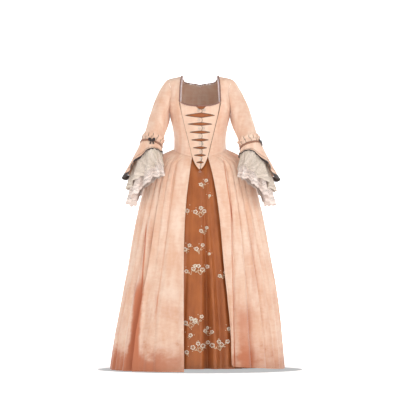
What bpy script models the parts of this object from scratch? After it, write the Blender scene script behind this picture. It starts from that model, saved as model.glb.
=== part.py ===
"""Robe a la francaise, as worn: hollow, open in front over its petticoat, sack-backed.

Metres, +Z up. The front faces -Y. Left and right in names are as seen from the front,
so left is at -X. The origin is on top of the shoulders, midway between them, and the hem
is at HEM_Z.
"""
import bisect
import math
from collections import namedtuple

import bmesh
import bpy
from mathutils import Vector

# Driving sizes.
HEM_Z = -1.431
SILK = 0.0015
LINEN = 0.0011
LACE = 0.0011
RIBBON = 0.0012
SEAM_GAP = 0.0004
LAYER_GAP = 0.0005
TORSO_SQUARENESS = 2.3
SKIRT_SQUARENESS = 2.2
SIDE_TURN = 0.5
CENTRE_BACK_TURN = 1.0

# Horizontal sections. half_width is at the side seam, front and back are depths from the Y axis.
Section = namedtuple("Section", "z half_width front back shift")

TORSO = [
    Section(-0.470, 0.150, 0.134, 0.100, 0.0),
    Section(-0.400, 0.138, 0.127, 0.092, 0.0),
    Section(-0.352, 0.1270, 0.119, 0.086, 0.0),
    Section(-0.310, 0.1265, 0.116, 0.086, 0.0),
    Section(-0.260, 0.1330, 0.120, 0.094, 0.0),
    Section(-0.210, 0.1440, 0.126, 0.103, 0.0),
    Section(-0.170, 0.1530, 0.129, 0.106, 0.0),
    Section(-0.135, 0.1570, 0.127, 0.105, 0.0),
    Section(-0.095, 0.1535, 0.122, 0.103, 0.0),
    Section(-0.055, 0.1575, 0.118, 0.100, 0.0),
    Section(-0.030, 0.1640, 0.116, 0.098, 0.0),
    Section(-0.018, 0.1690, 0.115, 0.098, 0.0),
    Section(0.000, 0.1700, 0.115, 0.098, 0.0),
]

SKIRT = [
    Section(-0.340, 0.152, 0.120, 0.105, 0.0),
    Section(-0.366, 0.178, 0.126, 0.118, 0.0),
    Section(-0.388, 0.198, 0.133, 0.132, 0.0),
    Section(-0.420, 0.224, 0.143, 0.152, 0.0),
    Section(-0.470, 0.251, 0.157, 0.184, 0.0),
    Section(-0.530, 0.271, 0.174, 0.220, 0.0),
    Section(-0.600, 0.288, 0.195, 0.258, 0.0),
    Section(-0.700, 0.311, 0.222, 0.302, 0.0),
    Section(-0.800, 0.330, 0.250, 0.340, 0.0),
    Section(-0.930, 0.353, 0.284, 0.385, 0.001),
    Section(-1.020, 0.371, 0.308, 0.413, -0.001),
    Section(-1.150, 0.393, 0.340, 0.450, -0.005),
    Section(-1.260, 0.409, 0.366, 0.478, -0.008),
    Section(HEM_Z, 0.427, 0.400, 0.515, -0.010),
]

# The fitted bodice, from the waist up to the shoulder seam. The front edge lies along the
# stomacher and the neck, the back edge along the centre back and the neck, and the side edge
# along the side seam and the armhole. turn is 0 at centre front, 0.5 at the side and 1 at
# centre back. lift brings a row's depth in to the shoulder seam.
FitRow = namedtuple("FitRow", "z_front x_front z_back x_back z_side turn_side lift")

FIT = [
    FitRow(-0.3975, 0.0385, -0.352, 0.000, -0.352, 0.50, 1.00),
    FitRow(-0.3500, 0.0500, -0.310, 0.000, -0.310, 0.50, 1.00),
    FitRow(-0.2900, 0.0645, -0.260, 0.000, -0.262, 0.50, 1.00),
    FitRow(-0.2200, 0.0815, -0.210, 0.000, -0.202, 0.50, 1.00),
    FitRow(-0.1700, 0.0935, -0.160, 0.000, -0.182, 0.445, 1.00),
    FitRow(-0.1300, 0.1020, -0.115, 0.000, -0.140, 0.37, 1.00),
    FitRow(-0.0900, 0.1005, -0.075, 0.000, -0.095, 0.36, 0.90),
    FitRow(-0.0450, 0.0985, -0.046, 0.000, -0.055, 0.36, 0.68),
    FitRow(-0.0120, 0.0940, -0.030, 0.076, -0.030, 0.37, 0.40),
    FitRow(0.0000, 0.0900, 0.000, 0.090, -0.018, 0.40, 0.00),
]
FIT_COLUMNS = 8
SIDE_SEAM_HALF = 0.0008
SHOULDER_SEAM_HALF = 0.0010

# Distance of each front edge of the open robe skirt from the middle.
EdgeRow = namedtuple("EdgeRow", "z left right")

OPEN_EDGE = [
    EdgeRow(HEM_Z, 0.0755, 0.1530),
    EdgeRow(-1.242, 0.0770, 0.1468),
    EdgeRow(-1.115, 0.0780, 0.1356),
    EdgeRow(-0.906, 0.0780, 0.1130),
    EdgeRow(-0.732, 0.0740, 0.0987),
    EdgeRow(-0.600, 0.0650, 0.0826),
    EdgeRow(-0.484, 0.0510, 0.0610),
    EdgeRow(-0.3975, 0.0385, 0.0385),
]

# Pleats of the robe skirt: where each valley runs from waist to hem, and how deep it is.
Pleat = namedtuple("Pleat", "turn_waist turn_hem depth_waist depth_hem")

PLEATS = {
    "left": [
        Pleat(0.158, 0.160, 0.004, 0.010),
        Pleat(0.196, 0.208, 0.005, 0.006),
        Pleat(0.238, 0.272, 0.006, 0.034),
        Pleat(0.284, 0.338, 0.007, 0.010),
        Pleat(0.334, 0.400, 0.007, 0.024),
        Pleat(0.390, 0.455, 0.007, 0.012),
        Pleat(0.450, 0.512, 0.007, 0.026),
        Pleat(0.515, 0.566, 0.007, 0.014),
    ],
    "right": [
        Pleat(0.168, 0.124, 0.005, 0.012),
        Pleat(0.206, 0.212, 0.005, 0.014),
        Pleat(0.246, 0.286, 0.006, 0.014),
        Pleat(0.292, 0.342, 0.007, 0.020),
        Pleat(0.340, 0.400, 0.007, 0.012),
        Pleat(0.394, 0.455, 0.007, 0.024),
        Pleat(0.452, 0.512, 0.007, 0.014),
        Pleat(0.515, 0.566, 0.007, 0.024),
    ],
}
PLEAT_STEPS = ((0.0, 1.0), (0.25, 0.05), (0.7, -0.2))
SKIRT_ROWS = (0.010, 0.030, 0.06, 0.11, 0.20, 0.36, 0.56, 0.78, 1.0)
FLARE_START = 0.0018
FLARE_DROP = 0.045

# The stomacher: its seam's distance from the middle, and its slits. Each bound parts two tabs;
# tip is how far the slit reaches from the middle and half_gap half its opening there.
StomacherEdge = namedtuple("StomacherEdge", "z half_width")
STOMACHER_EDGE = [
    StomacherEdge(-0.4625, 0.0035),
    StomacherEdge(-0.4560, 0.0075),
    StomacherEdge(-0.4410, 0.0195),
    StomacherEdge(-0.3975, 0.0380),
    StomacherEdge(-0.3500, 0.0495),
    StomacherEdge(-0.2900, 0.0640),
    StomacherEdge(-0.2200, 0.0810),
    StomacherEdge(-0.1700, 0.0930),
    StomacherEdge(-0.1300, 0.1015),
]
TabBound = namedtuple("TabBound", "z tip half_gap")
TAB_BOUNDS = [
    TabBound(-0.1536, 0.080, 0.0),
    TabBound(-0.1968, 0.071, 0.0120),
    TabBound(-0.2391, 0.059, 0.0080),
    TabBound(-0.2785, 0.049, 0.0075),
    TabBound(-0.3159, 0.041, 0.0072),
    TabBound(-0.3543, 0.033, 0.0068),
    TabBound(-0.3908, 0.028, 0.0062),
    TabBound(-0.4253, 0.017, 0.0050),
    TabBound(-0.4600, 0.003, 0.0001),
]
TAB_ROWS = (0.0, 0.25, 0.75, 1.0)
TAB_COLUMNS = (0.0, 0.6, 1.0, 1.4, 1.8, 2.0)
TAB_OVER = 0.0105
TAB_UNDER = 0.0015
TAB_END_ROUND = 0.006
TAB_NARROWEST = 0.4
TAB_END_BLUNTNESS = 0.9
SLIT_ROUNDNESS = 0.8
TAB_LIFT = LINEN + LAYER_GAP
TAB_LIFT_FROM = 0.030
WELD = 0.00001
NECK_BOTTOM_Z = -0.1515
NECK_CORNER_X = 0.102
NECK_CORNER_RISE = 0.0225
NECK_TURN = 0.001
UNDERLAY_TOP_Z = -0.134
UNDERLAY_BOTTOM_Z = -0.440
UNDERLAY_MARGIN = 0.006
UNDERLAY_ROWS = 7
UNDERLAY_GAP = 0.0014
UNDERLAY_COLUMNS = 6
PENDANT_RADIUS = 0.006
PENDANT_THREAD = 0.0012
PENDANT_TILT = 0.12
PENDANT_PLACE = (0.0, -0.1309, -0.4715)

TUCK_GAP = 0.0009
TUCK = SILK + TUCK_GAP
TUCK_UP = 0.004
PLEAT_START_DROP = 0.03
PETTICOAT_TOP_Z = -0.345
PETTICOAT_SEATED = 0.0011
PETTICOAT_BEHIND_POINT = 0.0045
PETTICOAT_DRAWN_IN = 0.009
PETTICOAT_DRAW_DROP = 0.014
POINT_Z = -0.458
POINT_TURN = 0.09
PETTICOAT_SETTLE = 0.10
PETTICOAT_NEAR_TURN = 0.11
PETTICOAT_INSET_FRONT = 0.016
PETTICOAT_INSET_SIDE = 0.052
PETTICOAT_SEAM_HALF = 0.0006
PETTICOAT_ROWS = (0.0, 0.010, 0.03, 0.06, 0.10, 0.17, 0.30, 0.50, 0.75, 1.0)
PetticoatPanel = namedtuple("PetticoatPanel", "name start stop waves deep")
PETTICOAT = [
    PetticoatPanel("petticoat_front", -0.25, 0.25, 12, 0.012),
    PetticoatPanel("petticoat_side_left", -0.72, -0.25, 5, 0.020),
    PetticoatPanel("petticoat_side_right", 0.25, 0.72, 5, 0.020),
    PetticoatPanel("petticoat_back_left", -1.0, -0.72, 3, 0.020),
    PetticoatPanel("petticoat_back_right", 0.72, 1.0, 3, 0.020),
]

# The loose sack back, from the back neckline to the hem. edge_turn is where its side edge lies.
SackRow = namedtuple("SackRow", "z edge_turn back")
SACK = [
    SackRow(-0.048, 0.850, 0.092),
    SackRow(-0.100, 0.805, 0.108),
    SackRow(-0.200, 0.745, 0.124),
    SackRow(-0.300, 0.695, 0.143),
    SackRow(-0.352, 0.668, 0.153),
    SackRow(-0.420, 0.6300, 0.171),
    SackRow(-0.470, 0.6220, 0.184),
    SackRow(HEM_Z, 0.6200, 0.184),
]
SACK_LEVELS = (-0.048, -0.10, -0.18, -0.27, -0.352, -0.370, -0.390, -0.410, -0.43, -0.50,
               -0.60, -0.74, -0.92, -1.12, -1.29, HEM_Z)
SACK_STANDS_OFF = 0.0045
SACK_WAIST_Z = -0.352
SACK_FREE_DROP = 0.08
SACK_EDGE_SHARE = 0.35
SACK_SEAM_GAP = 0.0014
HIP_JOIN_SHARE = 0.15
HIP_JOIN_DROP = 0.012
BoxPleat = namedtuple("BoxPleat", "t neck hem")
BOX_PLEAT = [
    BoxPleat(0.00, 0.0, 0.0),
    BoxPleat(0.12, 0.0005, 0.002),
    BoxPleat(0.17, 0.0040, 0.014),
    BoxPleat(0.28, 0.0040, 0.018),
    BoxPleat(0.34, 0.0042, 0.014),
    BoxPleat(0.39, 0.0075, 0.034),
    BoxPleat(0.52, 0.0080, 0.042),
    BoxPleat(0.66, 0.0075, 0.034),
    BoxPleat(0.80, 0.0080, 0.044),
    BoxPleat(0.91, 0.0075, 0.036),
    BoxPleat(0.95, 0.0040, 0.012),
    BoxPleat(1.00, 0.0036, 0.004),
]

# Arms and cuffs, given for the +X side; the other side mirrors them.
Arm = namedtuple("Arm", "elbow bow_turn")
ARMS = {
    "left": Arm(Vector((0.236, -0.135, -0.342)), 0.74),
    "right": Arm(Vector((0.246, -0.135, -0.350)), 0.92),
}
ELBOW_AXIS = Vector((0.24, -0.38, -0.89))
ARMHOLE_GAP = 0.0008
SLEEVE_ROWS = 7
SLEEVE_SEAMS = (7, 17)
SLEEVE_SEAM_HALF = 0.0005
SLEEVE_END_RADIUS = 0.047
SLEEVE_TOP = Vector((0.52, -0.06, -0.55))
SLEEVE_UNDER = Vector((0.10, -0.30, -0.80))
BRAID_RING = 0.0504
BRAID_RADIUS = 0.0035
BRAID_SEGMENTS = 24
BRAID_SIDES = 5
Ruffle = namedtuple("Ruffle", "radius shortest longest flare_least flare_most clearance")
SILK_FLOUNCE = Ruffle(0.0535, 0.048, 0.172, 0.012, 0.076, 0.010)
UPPER_LACE = Ruffle(0.0514, 0.100, 0.225, 0.014, 0.062, 0.018)
LOWER_LACE = Ruffle(0.0497, 0.150, 0.290, 0.012, 0.050, 0.026)
RUFFLE_ALONG = 0.0042
RUFFLE_WAVES = 10
RUFFLE_COLUMNS = 30
RUFFLE_ROWS = (0.0, 0.5, 1.0)
RUFFLE_SWAY = 0.045
RUFFLE_GATHERS_BACK = 1.3
LONGEST_TURN = 0.03
FLOUNCE_SHARE = 0.90
RIBBON_GAP = 0.0016
WAIST_CLEAR_Z = -0.37
HeadingRow = namedtuple("HeadingRow", "along radius wave")
HEADING = [
    HeadingRow(-0.040, 0.0545, 0.0055),
    HeadingRow(-0.027, 0.0518, 0.0010),
    HeadingRow(-0.015, 0.0520, 0.0045),
    HeadingRow(-0.0046, 0.0491, 0.0010),
]
HEADING_WAVES = 13
BOW_SIZE = 0.017
BOW_THICKNESS = 0.003
BOW_OUTLINE = ((0.0, 0.22), (0.2, 0.28), (0.7, 0.62), (0.95, 0.5), (1.0, 0.0), (0.75, -0.3),
               (0.3, -0.2), (0.62, -0.9), (0.5, -1.25), (0.28, -1.2), (0.0, -0.35))

NECK_CENTRE = Vector((0.0, 0.0, -0.12))
NECK_BRAID_RADIUS = 0.0030
NECK_BRAID_RISE = 0.0005
NECK_BRAID_ASIDE = 0.0036
NECK_BRAID_RAISED = 0.0016
NECK_BRAID_DRAWN = 0.72
NECK_FRONT_POINTS = 6
NECK_WAVES = {"front": 14, "side": 11, "back": 15}
NECK_FRONT_REACH = 0.092
NECK_SIDE_START = 0.004
NECK_SEAM_HALF = 0.0035
FRILL_WAVES = 14
FRILL_SWAY = 0.0014
FRILL_START = 0.0025
FRILL_REACH = 0.0080
FRILL_UNDER = 0.0015

SIDES = {"left": -1.0, "right": 1.0}


def cubic(at, xs, ys):
    """Value at a place on a smooth curve through the points, which never overshoots them."""
    if at <= xs[0]:
        return ys[0]
    if at >= xs[-1]:
        return ys[-1]
    slopes = [(ys[i + 1] - ys[i]) / (xs[i + 1] - xs[i]) for i in range(len(xs) - 1)]
    tangents = [slopes[0]]
    for before, after in zip(slopes, slopes[1:]):
        tangents.append(0.0 if before * after <= 0 else 2 * before * after / (before + after))
    tangents.append(slopes[-1])
    i = bisect.bisect_right(xs, at) - 1
    width = xs[i + 1] - xs[i]
    t = (at - xs[i]) / width
    start = ys[i] * (1 + 2 * t) * (1 - t) ** 2 + tangents[i] * width * t * (1 - t) ** 2
    end = ys[i + 1] * t * t * (3 - 2 * t) + tangents[i + 1] * width * t * t * (t - 1)
    return start + end


def read(table, column, at, key="z"):
    """Smooth value of a table's column at a value of its key column."""
    rows = sorted(table, key=lambda row: getattr(row, key))
    return cubic(at, [getattr(row, key) for row in rows], [getattr(row, column) for row in rows])


def blend(a, b, t):
    return a + (b - a) * t


def ease(t):
    t = min(max(t, 0.0), 1.0)
    return t * t * (3 - 2 * t)


def section(table, z, inset=0.0):
    """Half width, front, back and sideways shift of a section, drawn in by an inset."""
    half, front, back = (read(table, name, z) - inset for name in ("half_width", "front", "back"))
    return half, front, back, read(table, "shift", z)


def section_point(size, turn, squareness, lift=1.0):
    """Point of a section at a turn, as (x, y), on the +X side."""
    half, front, back, _ = size
    angle = math.pi * turn
    power = 2.0 / squareness
    x = half * abs(math.sin(angle)) ** power
    depth = front if turn < SIDE_TURN else back
    y = -math.copysign(depth * abs(math.cos(angle)) ** power, math.cos(angle))
    return x, y * lift


def turn_at(x, size, squareness):
    """Turn in front at which a section reaches a distance x from its middle."""
    share = min(abs(x) / size[0], 1.0)
    return math.asin(share ** (squareness / 2.0)) / math.pi


def torso_point(turn, z, inset=0.0, lift=1.0):
    x, y = section_point(section(TORSO, z, inset), turn, TORSO_SQUARENESS, lift)
    return Vector((x, y, z))


def torso_turn(x, z):
    return turn_at(x, section(TORSO, z), TORSO_SQUARENESS)


def collection_named(name):
    made = bpy.data.collections.new(name)
    bpy.context.scene.collection.children.link(made)
    return made


def material_named(name, colour, roughness):
    """One Principled material; pieces of the same finish share it."""
    if name in bpy.data.materials:
        return bpy.data.materials[name]
    made = bpy.data.materials.new(name)
    made.use_nodes = True
    shader = made.node_tree.nodes["Principled BSDF"]
    shader.inputs["Base Color"].default_value = (*colour, 1.0)
    shader.inputs["Roughness"].default_value = roughness
    shader.inputs["Metallic"].default_value = 0.0
    return made


FINISHES = {
    "robe_silk": ((0.87, 0.62, 0.45), 0.55),
    "stomacher_silk": ((0.92, 0.70, 0.53), 0.5),
    "petticoat_satin": ((0.45, 0.17, 0.07), 0.4),
    "braid": ((0.33, 0.12, 0.07), 0.7),
    "dark_ribbon": ((0.05, 0.03, 0.03), 0.8),
    "lace": ((0.72, 0.62, 0.48), 0.8),
    "neck_frill": ((0.88, 0.76, 0.76), 0.8),
}


def link_piece(piece, finish):
    piece.data.materials.append(material_named(finish, *FINISHES[finish]))
    bpy.data.collections["robe_a_la_francaise"].objects.link(piece)
    return piece


def faces_point_out(grid, centre_of):
    """Turn the grid's faces to look away from the line that centre_of gives."""
    leaning = 0.0
    for face in grid.faces:
        middle = face.calc_center_median()
        leaning += face.normal.dot(middle - centre_of(middle)) * face.calc_area()
    if leaning < 0:
        bmesh.ops.reverse_faces(grid, faces=grid.faces[:])


def body_axis(point):
    return Vector((0.0, 0.0, point.z))


def add_rows(grid, rows, closed=False):
    """Faces between neighbouring rows of points."""
    corners = [[grid.verts.new(point) for point in row] for row in rows]
    for lower, upper in zip(corners, corners[1:]):
        count = len(lower)
        for i in range(count if closed else count - 1):
            j = (i + 1) % count
            grid.faces.new((lower[i], lower[j], upper[j], upper[i]))


def wall_of(grid, name, thickness, finish, centre_of):
    """The grid as a wall of cloth with its outer face on the grid."""
    grid.normal_update()
    faces_point_out(grid, centre_of)
    mesh = bpy.data.meshes.new(name)
    grid.to_mesh(mesh)
    grid.free()
    mesh.shade_smooth()
    piece = link_piece(bpy.data.objects.new(name, mesh), finish)
    wall = piece.modifiers.new("wall", "SOLIDIFY")
    wall.thickness = thickness
    wall.offset = -1.0


def cloth(name, rows, thickness, finish, closed=False, centre_of=body_axis):
    """A wall of cloth lofted through rows of points."""
    grid = bmesh.new()
    add_rows(grid, rows, closed)
    wall_of(grid, name, thickness, finish, centre_of)


def sided(side, point):
    return Vector((point.x * SIDES[side], point.y, point.z))


def columns(count):
    return [i / count for i in range(count + 1)]


def bodice_front(side):
    """Front with its shoulder, from the stomacher seam to the side seam and armhole."""
    rows = []
    for row in FIT:
        inner_turn = torso_turn(row.x_front, row.z_front)
        points = []
        for t in columns(FIT_COLUMNS):
            z = blend(row.z_front, row.z_side, t)
            turn = blend(inner_turn, row.turn_side - SIDE_SEAM_HALF, t)
            points.append(sided(side, torso_point(turn, z, 0.0, row.lift)))
        rows.append(points)
    rows[-1] = [point - Vector((0.0, SHOULDER_SEAM_HALF, 0.0)) for point in rows[-1]]
    cloth("bodice_front_" + side, rows, SILK, "robe_silk")


def bodice_back(side):
    """Fitted back under the sack, from the side seam to the centre back seam."""
    rows = []
    for row in FIT:
        inner_turn = 1.0 - back_turn(row.x_back, row.z_back)
        points = []
        for t in columns(FIT_COLUMNS):
            z = blend(row.z_back, row.z_side, t)
            turn = blend(inner_turn, 1.0 - row.turn_side + SIDE_SEAM_HALF, t)
            points.append(sided(side, torso_point(turn, z, 0.0, row.lift)))
        if row.x_back == 0:
            points[0].x += SIDES[side] * SEAM_GAP
        rows.append(points)
    rows[-1] = [point + Vector((0.0, SHOULDER_SEAM_HALF, 0.0)) for point in rows[-1]]
    cloth("bodice_back_" + side, rows, SILK, "robe_silk")


def back_turn(x, z):
    """How far from centre back a point at a distance x lies, as a turn."""
    return turn_at(x, section(TORSO, z), TORSO_SQUARENESS)


def stomacher_seam(z):
    """Distance from the middle to the seam between stomacher and bodice, down to the point."""
    return read(STOMACHER_EDGE, "half_width", z)


def neckline_z(x):
    """Height of the curved neckline bottom at a distance from the middle."""
    return NECK_BOTTOM_Z + NECK_CORNER_RISE * (abs(x) / NECK_CORNER_X) ** 3


def stomacher_half(side):
    """One half of the stomacher: eight tabs, parted towards the middle by lens-shaped slits."""
    reach = -TAB_OVER if side == "left" else TAB_UNDER
    rows = []
    for tab, (upper, lower) in enumerate(zip(TAB_BOUNDS, TAB_BOUNDS[1:])):
        strip = []
        for v in TAB_ROWS:
            row = []
            tip = blend(upper.tip, lower.tip, v)
            round_off = TAB_END_ROUND * (1 - math.sqrt(1 - TAB_END_BLUNTNESS * (2 * v - 1) ** 2))
            end = max(reach, -tip * TAB_NARROWEST) + round_off
            for place in TAB_COLUMNS:
                row.append(stomacher_point(side, place, v, tip, end, upper, lower))
            strip.append(row)
        rows.append(strip)
    stomacher_cloth("stomacher_" + side, rows)


def stomacher_point(side, place, v, tip, end, upper, lower):
    """Point of a tab: place runs 0 at the seam, 1 at the slit's tip and 2 at the tab's end."""
    middle_z = blend(upper.z, lower.z, v)
    seam = stomacher_seam(middle_z) - SEAM_GAP
    x = blend(seam, tip, place) if place <= 1 else blend(tip, end, place - 1)
    opened = max(place - 1, 0.0) ** SLIT_ROUNDNESS
    top = upper.z - upper.half_gap * opened
    bottom = lower.z + lower.half_gap * opened
    if upper.half_gap == 0:
        top = neckline_z(x) - NECK_TURN
    z = blend(top, bottom, v)
    raised = TAB_LIFT * ease((TAB_LIFT_FROM - x) / TAB_LIFT_FROM) if side == "left" else 0.0
    point = torso_point(torso_turn(x, z), z, -raised)
    return Vector((x * SIDES[side], point.y, point.z))


def stomacher_cloth(name, strips):
    """The tabs' strips as one piece, welded where no slit parts them."""
    grid = bmesh.new()
    for strip in strips:
        add_rows(grid, strip)
    bmesh.ops.remove_doubles(grid, verts=grid.verts[:], dist=WELD)
    wall_of(grid, name, LINEN, "stomacher_silk", body_axis)


def stomacher_underlay():
    """The rust layer behind the slits."""
    rows = []
    for k in range(UNDERLAY_ROWS + 1):
        t = k / UNDERLAY_ROWS
        z_side = blend(UNDERLAY_TOP_Z, UNDERLAY_BOTTOM_Z, t)
        reach = stomacher_seam(z_side) - UNDERLAY_MARGIN
        row = []
        for i in range(-UNDERLAY_COLUMNS, UNDERLAY_COLUMNS + 1):
            x = reach * i / UNDERLAY_COLUMNS
            z = z_side + (1 - t) * (neckline_z(x) - neckline_z(reach))
            point = torso_point(torso_turn(x, z), z, LINEN + UNDERLAY_GAP)
            row.append(Vector((x, point.y, z)))
        rows.append(row)
    cloth("stomacher_underlay", rows, LINEN, "petticoat_satin")


def pendant():
    """Small thread loop that hangs from the stomacher's point, lying on the petticoat."""
    bpy.ops.mesh.primitive_torus_add(
        major_radius=PENDANT_RADIUS, minor_radius=PENDANT_THREAD, major_segments=12,
        minor_segments=5, location=PENDANT_PLACE, rotation=(math.pi / 2 - PENDANT_TILT, 0, 0))
    piece = bpy.context.object
    piece.name = "pendant_loop"
    bpy.ops.object.transform_apply(location=False, rotation=True, scale=False)
    for owner in piece.users_collection:
        owner.objects.unlink(piece)
    link_piece(piece, "braid")


def waist_seam_z(turn):
    """Height of the seam between bodice and skirt, which dips towards the front."""
    if turn >= SIDE_TURN:
        return FIT[0].z_side
    front_turn = torso_turn(FIT[0].x_front, FIT[0].z_front)
    t = max(0.0, (turn - front_turn) / (SIDE_TURN - front_turn))
    return blend(FIT[0].z_front, FIT[0].z_side, t)


def skirt_size(z, inset, drop):
    """Section of the skirt; just under the seam it comes out of the bodice's own section."""
    free = section(SKIRT, z, inset)
    tight = section(TORSO, z, inset + TUCK)
    share = 1 - (1 - min(max(drop - FLARE_START, 0.0) / FLARE_DROP, 1.0)) ** 2
    size = [blend(a, b, share) for a, b in zip(tight, free)]
    return size, blend(TORSO_SQUARENESS, SKIRT_SQUARENESS, share)


def skirt_point(turn, z, inset, drop):
    size, squareness = skirt_size(z, inset, drop)
    x, y = section_point(size, turn, squareness)
    return Vector((x, y, z))


def skirt_levels(turn, tuck):
    """Heights of the rows below the waist seam, the first tucked up behind the bodice."""
    seam = waist_seam_z(turn)
    return [seam + tuck, seam - FLARE_START] + [blend(seam, HEM_Z, share) for share in SKIRT_ROWS]


def back_seam_turn(z):
    """Turn at which the robe skirt meets the sack back."""
    half, _, back, _ = section(SKIRT, z)
    metres_a_turn = math.pi * (half + back) / 2
    return read(SACK, "edge_turn", z) - SACK_SEAM_GAP / metres_a_turn


def edge_turn(side, z):
    """Turn at which the robe's open front edge lies."""
    size, squareness = skirt_size(z, 0.0, max(FIT[0].z_front - z, 0.0))
    x = read(OPEN_EDGE, side, z) - SIDES[side] * size[3]
    return turn_at(x, size, squareness)


def robe_front(side):
    """Skirt front and side of the robe, from its open edge to the sack."""
    count = len(skirt_levels(SIDE_TURN, TUCK_UP))
    valleys = PLEATS[side]
    rows = []
    for level in range(count):
        row = []
        for k in range(-1, len(valleys)):
            for step, weight in PLEAT_STEPS:
                place = pleat_place(side, valleys, k, step, level)
                row.append(pleated_point(side, valleys, k, weight, step, place, level))
        place = pleat_place(side, valleys, len(valleys) - 1, 1.0, level)
        row.append(pleated_point(side, valleys, len(valleys) - 1, 0.0, 1.0, place, level))
        rows.append(row)
    cloth("robe_skirt_" + side, rows, SILK, "robe_silk")


def pleat_place(side, valleys, k, step, level):
    """Turn of a column: step 0 is at valley k and step 1 at the next one."""
    z = skirt_levels(SIDE_TURN, TUCK_UP)[level]
    fall = ease((FIT[0].z_side - z) / (FIT[0].z_side - HEM_Z))
    turns = [edge_turn(side, skirt_levels(0.0, TUCK_UP)[level])]
    turns += [blend(valley.turn_waist, valley.turn_hem, fall) for valley in valleys]
    turns.append(back_seam_turn(z))
    return blend(turns[k + 1], turns[k + 2], step)


def pleated_point(side, valleys, k, weight, step, turn, level):
    z = skirt_levels(turn, TUCK_UP)[level]
    drop = max(waist_seam_z(turn) - z, 0.0)
    fall = ease(drop / (FIT[0].z_side - HEM_Z))
    here = valleys[max(k, 0)]
    after = valleys[min(k + 1, len(valleys) - 1)]
    deep = [blend(pleat.depth_waist, pleat.depth_hem, fall) for pleat in (here, after)]
    depth = weight * (deep[0] if step < 0.5 else deep[1] if step > 0.5 else sum(deep) / 2)
    if k < 0 and step == 0.0 or step == 1.0:
        depth = 0.0
    depth *= ease(drop / PLEAT_START_DROP)
    point = skirt_point(turn, z, depth, drop)
    shift = read(SKIRT, "shift", z)
    return Vector((point.x * SIDES[side] + shift, point.y, z))


def petticoat_panel(panel):
    """One width of the petticoat, gathered at the waist and waved at the hem."""
    start = panel.start + PETTICOAT_SEAM_HALF
    stop = panel.stop - PETTICOAT_SEAM_HALF
    count = panel.waves * 2
    rows = []
    for share in PETTICOAT_ROWS:
        z = blend(PETTICOAT_TOP_Z, HEM_Z, share)
        row = []
        for i in range(count + 1):
            turn = blend(start, stop, i / count)
            half_turn = abs(turn)
            leaves = blend(POINT_Z, FIT[0].z_front, ease(half_turn / POINT_TURN))
            drop = max(leaves - z, 0.0)
            cover = ease((half_turn - PETTICOAT_NEAR_TURN) / PETTICOAT_NEAR_TURN)
            seated = blend(PETTICOAT_BEHIND_POINT, PETTICOAT_SEATED, cover)
            seated += PETTICOAT_DRAWN_IN * ease((PETTICOAT_TOP_Z - z) / PETTICOAT_DRAW_DROP)
            under = blend(PETTICOAT_INSET_FRONT, PETTICOAT_INSET_SIDE, cover)
            inset = blend(seated, under, ease(drop / PETTICOAT_SETTLE))
            wave = panel.deep * share if i % 2 and 1 < i < count - 1 else 0.0
            point = skirt_point(half_turn, z, inset + wave, drop)
            row.append(Vector((math.copysign(point.x, turn) + read(SKIRT, "shift", z), point.y, z)))
        rows.append(row)
    cloth(panel.name, rows, SILK, "petticoat_satin")


def petticoat():
    for panel in PETTICOAT:
        petticoat_panel(panel)


def loose_back(t, z):
    """Distance from the middle and depth of the loose back on the right half."""
    edge = read(SACK, "edge_turn", z)
    turn = blend(edge, CENTRE_BACK_TURN, t)
    lift = read(FIT, "lift", z, key="z_back")
    above = section(TORSO, z, -SACK_STANDS_OFF)
    fitted_x, fitted_y = section_point(above, turn, TORSO_SQUARENESS, lift)
    loose = (above[0], above[1], read(SACK, "back", z), 0.0)
    loose_y = max(section_point(loose, turn, TORSO_SQUARENESS)[1], fitted_y)
    y_above = blend(fitted_y, loose_y, ease(t / SACK_EDGE_SHARE))
    below_x, below_y = section_point(section(SKIRT, z), turn, SKIRT_SQUARENESS)
    share = ease((SACK_WAIST_Z - z) / SACK_FREE_DROP)
    x = blend(fitted_x, below_x, share)
    y = blend(y_above, below_y, share)
    fall = ease((SACK[0].z - z) / (SACK[0].z - HEM_Z))
    y += blend(read(BOX_PLEAT, "neck", t, key="t"), read(BOX_PLEAT, "hem", t, key="t"), fall)
    return x, y


def sack_point(side, t, z):
    """Point of the loose back: t runs 0 at its side edge, 1 at the centre back seam."""
    x, y = loose_back(t, z)
    drop = FIT[0].z_side - z
    if drop > 0 and t < HIP_JOIN_SHARE:
        # Below the waist its side edge follows the robe skirt, which flares out from its own seam.
        edge_x, edge_y = loose_back(0.0, z)
        meet = skirt_point(read(SACK, "edge_turn", z), z, 0.0, drop)
        share = (1 - ease(t / HIP_JOIN_SHARE)) * ease(drop / HIP_JOIN_DROP)
        x += (meet.x - edge_x) * share
        y += (meet.y - edge_y) * share
    return Vector((x * SIDES[side] + read(SKIRT, "shift", z), y, z))


def sack_back(side):
    """Half of the loose back, box-pleated at the neck and falling to the hem."""
    rows = []
    for z in SACK_LEVELS:
        row = []
        for place in BOX_PLEAT:
            point = sack_point(side, place.t, z)
            if place.t == 1.0:
                point.x += SIDES[side] * SEAM_GAP
            row.append(point)
        rows.append(row)
    cloth("sack_back_" + side, rows, SILK, "robe_silk")


def armhole(side):
    """The armhole's edge as a ring: shoulder, front, underarm, back."""
    front = [torso_point(row.turn_side, row.z_side, 0.0, row.lift) for row in FIT[4:]]
    back = [torso_point(1.0 - row.turn_side, row.z_side, 0.0, row.lift) for row in FIT[4:]]
    under = torso_point(SIDE_TURN, FIT[3].z_side)
    ring = front[::-1] + [under] + back[:-1]
    doubled = []
    for here, after in zip(ring, ring[1:] + ring[:1]):
        doubled += [here, (here + after) / 2]
    return [point + Vector((ARMHOLE_GAP, 0.0, 0.0)) for point in doubled]


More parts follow.
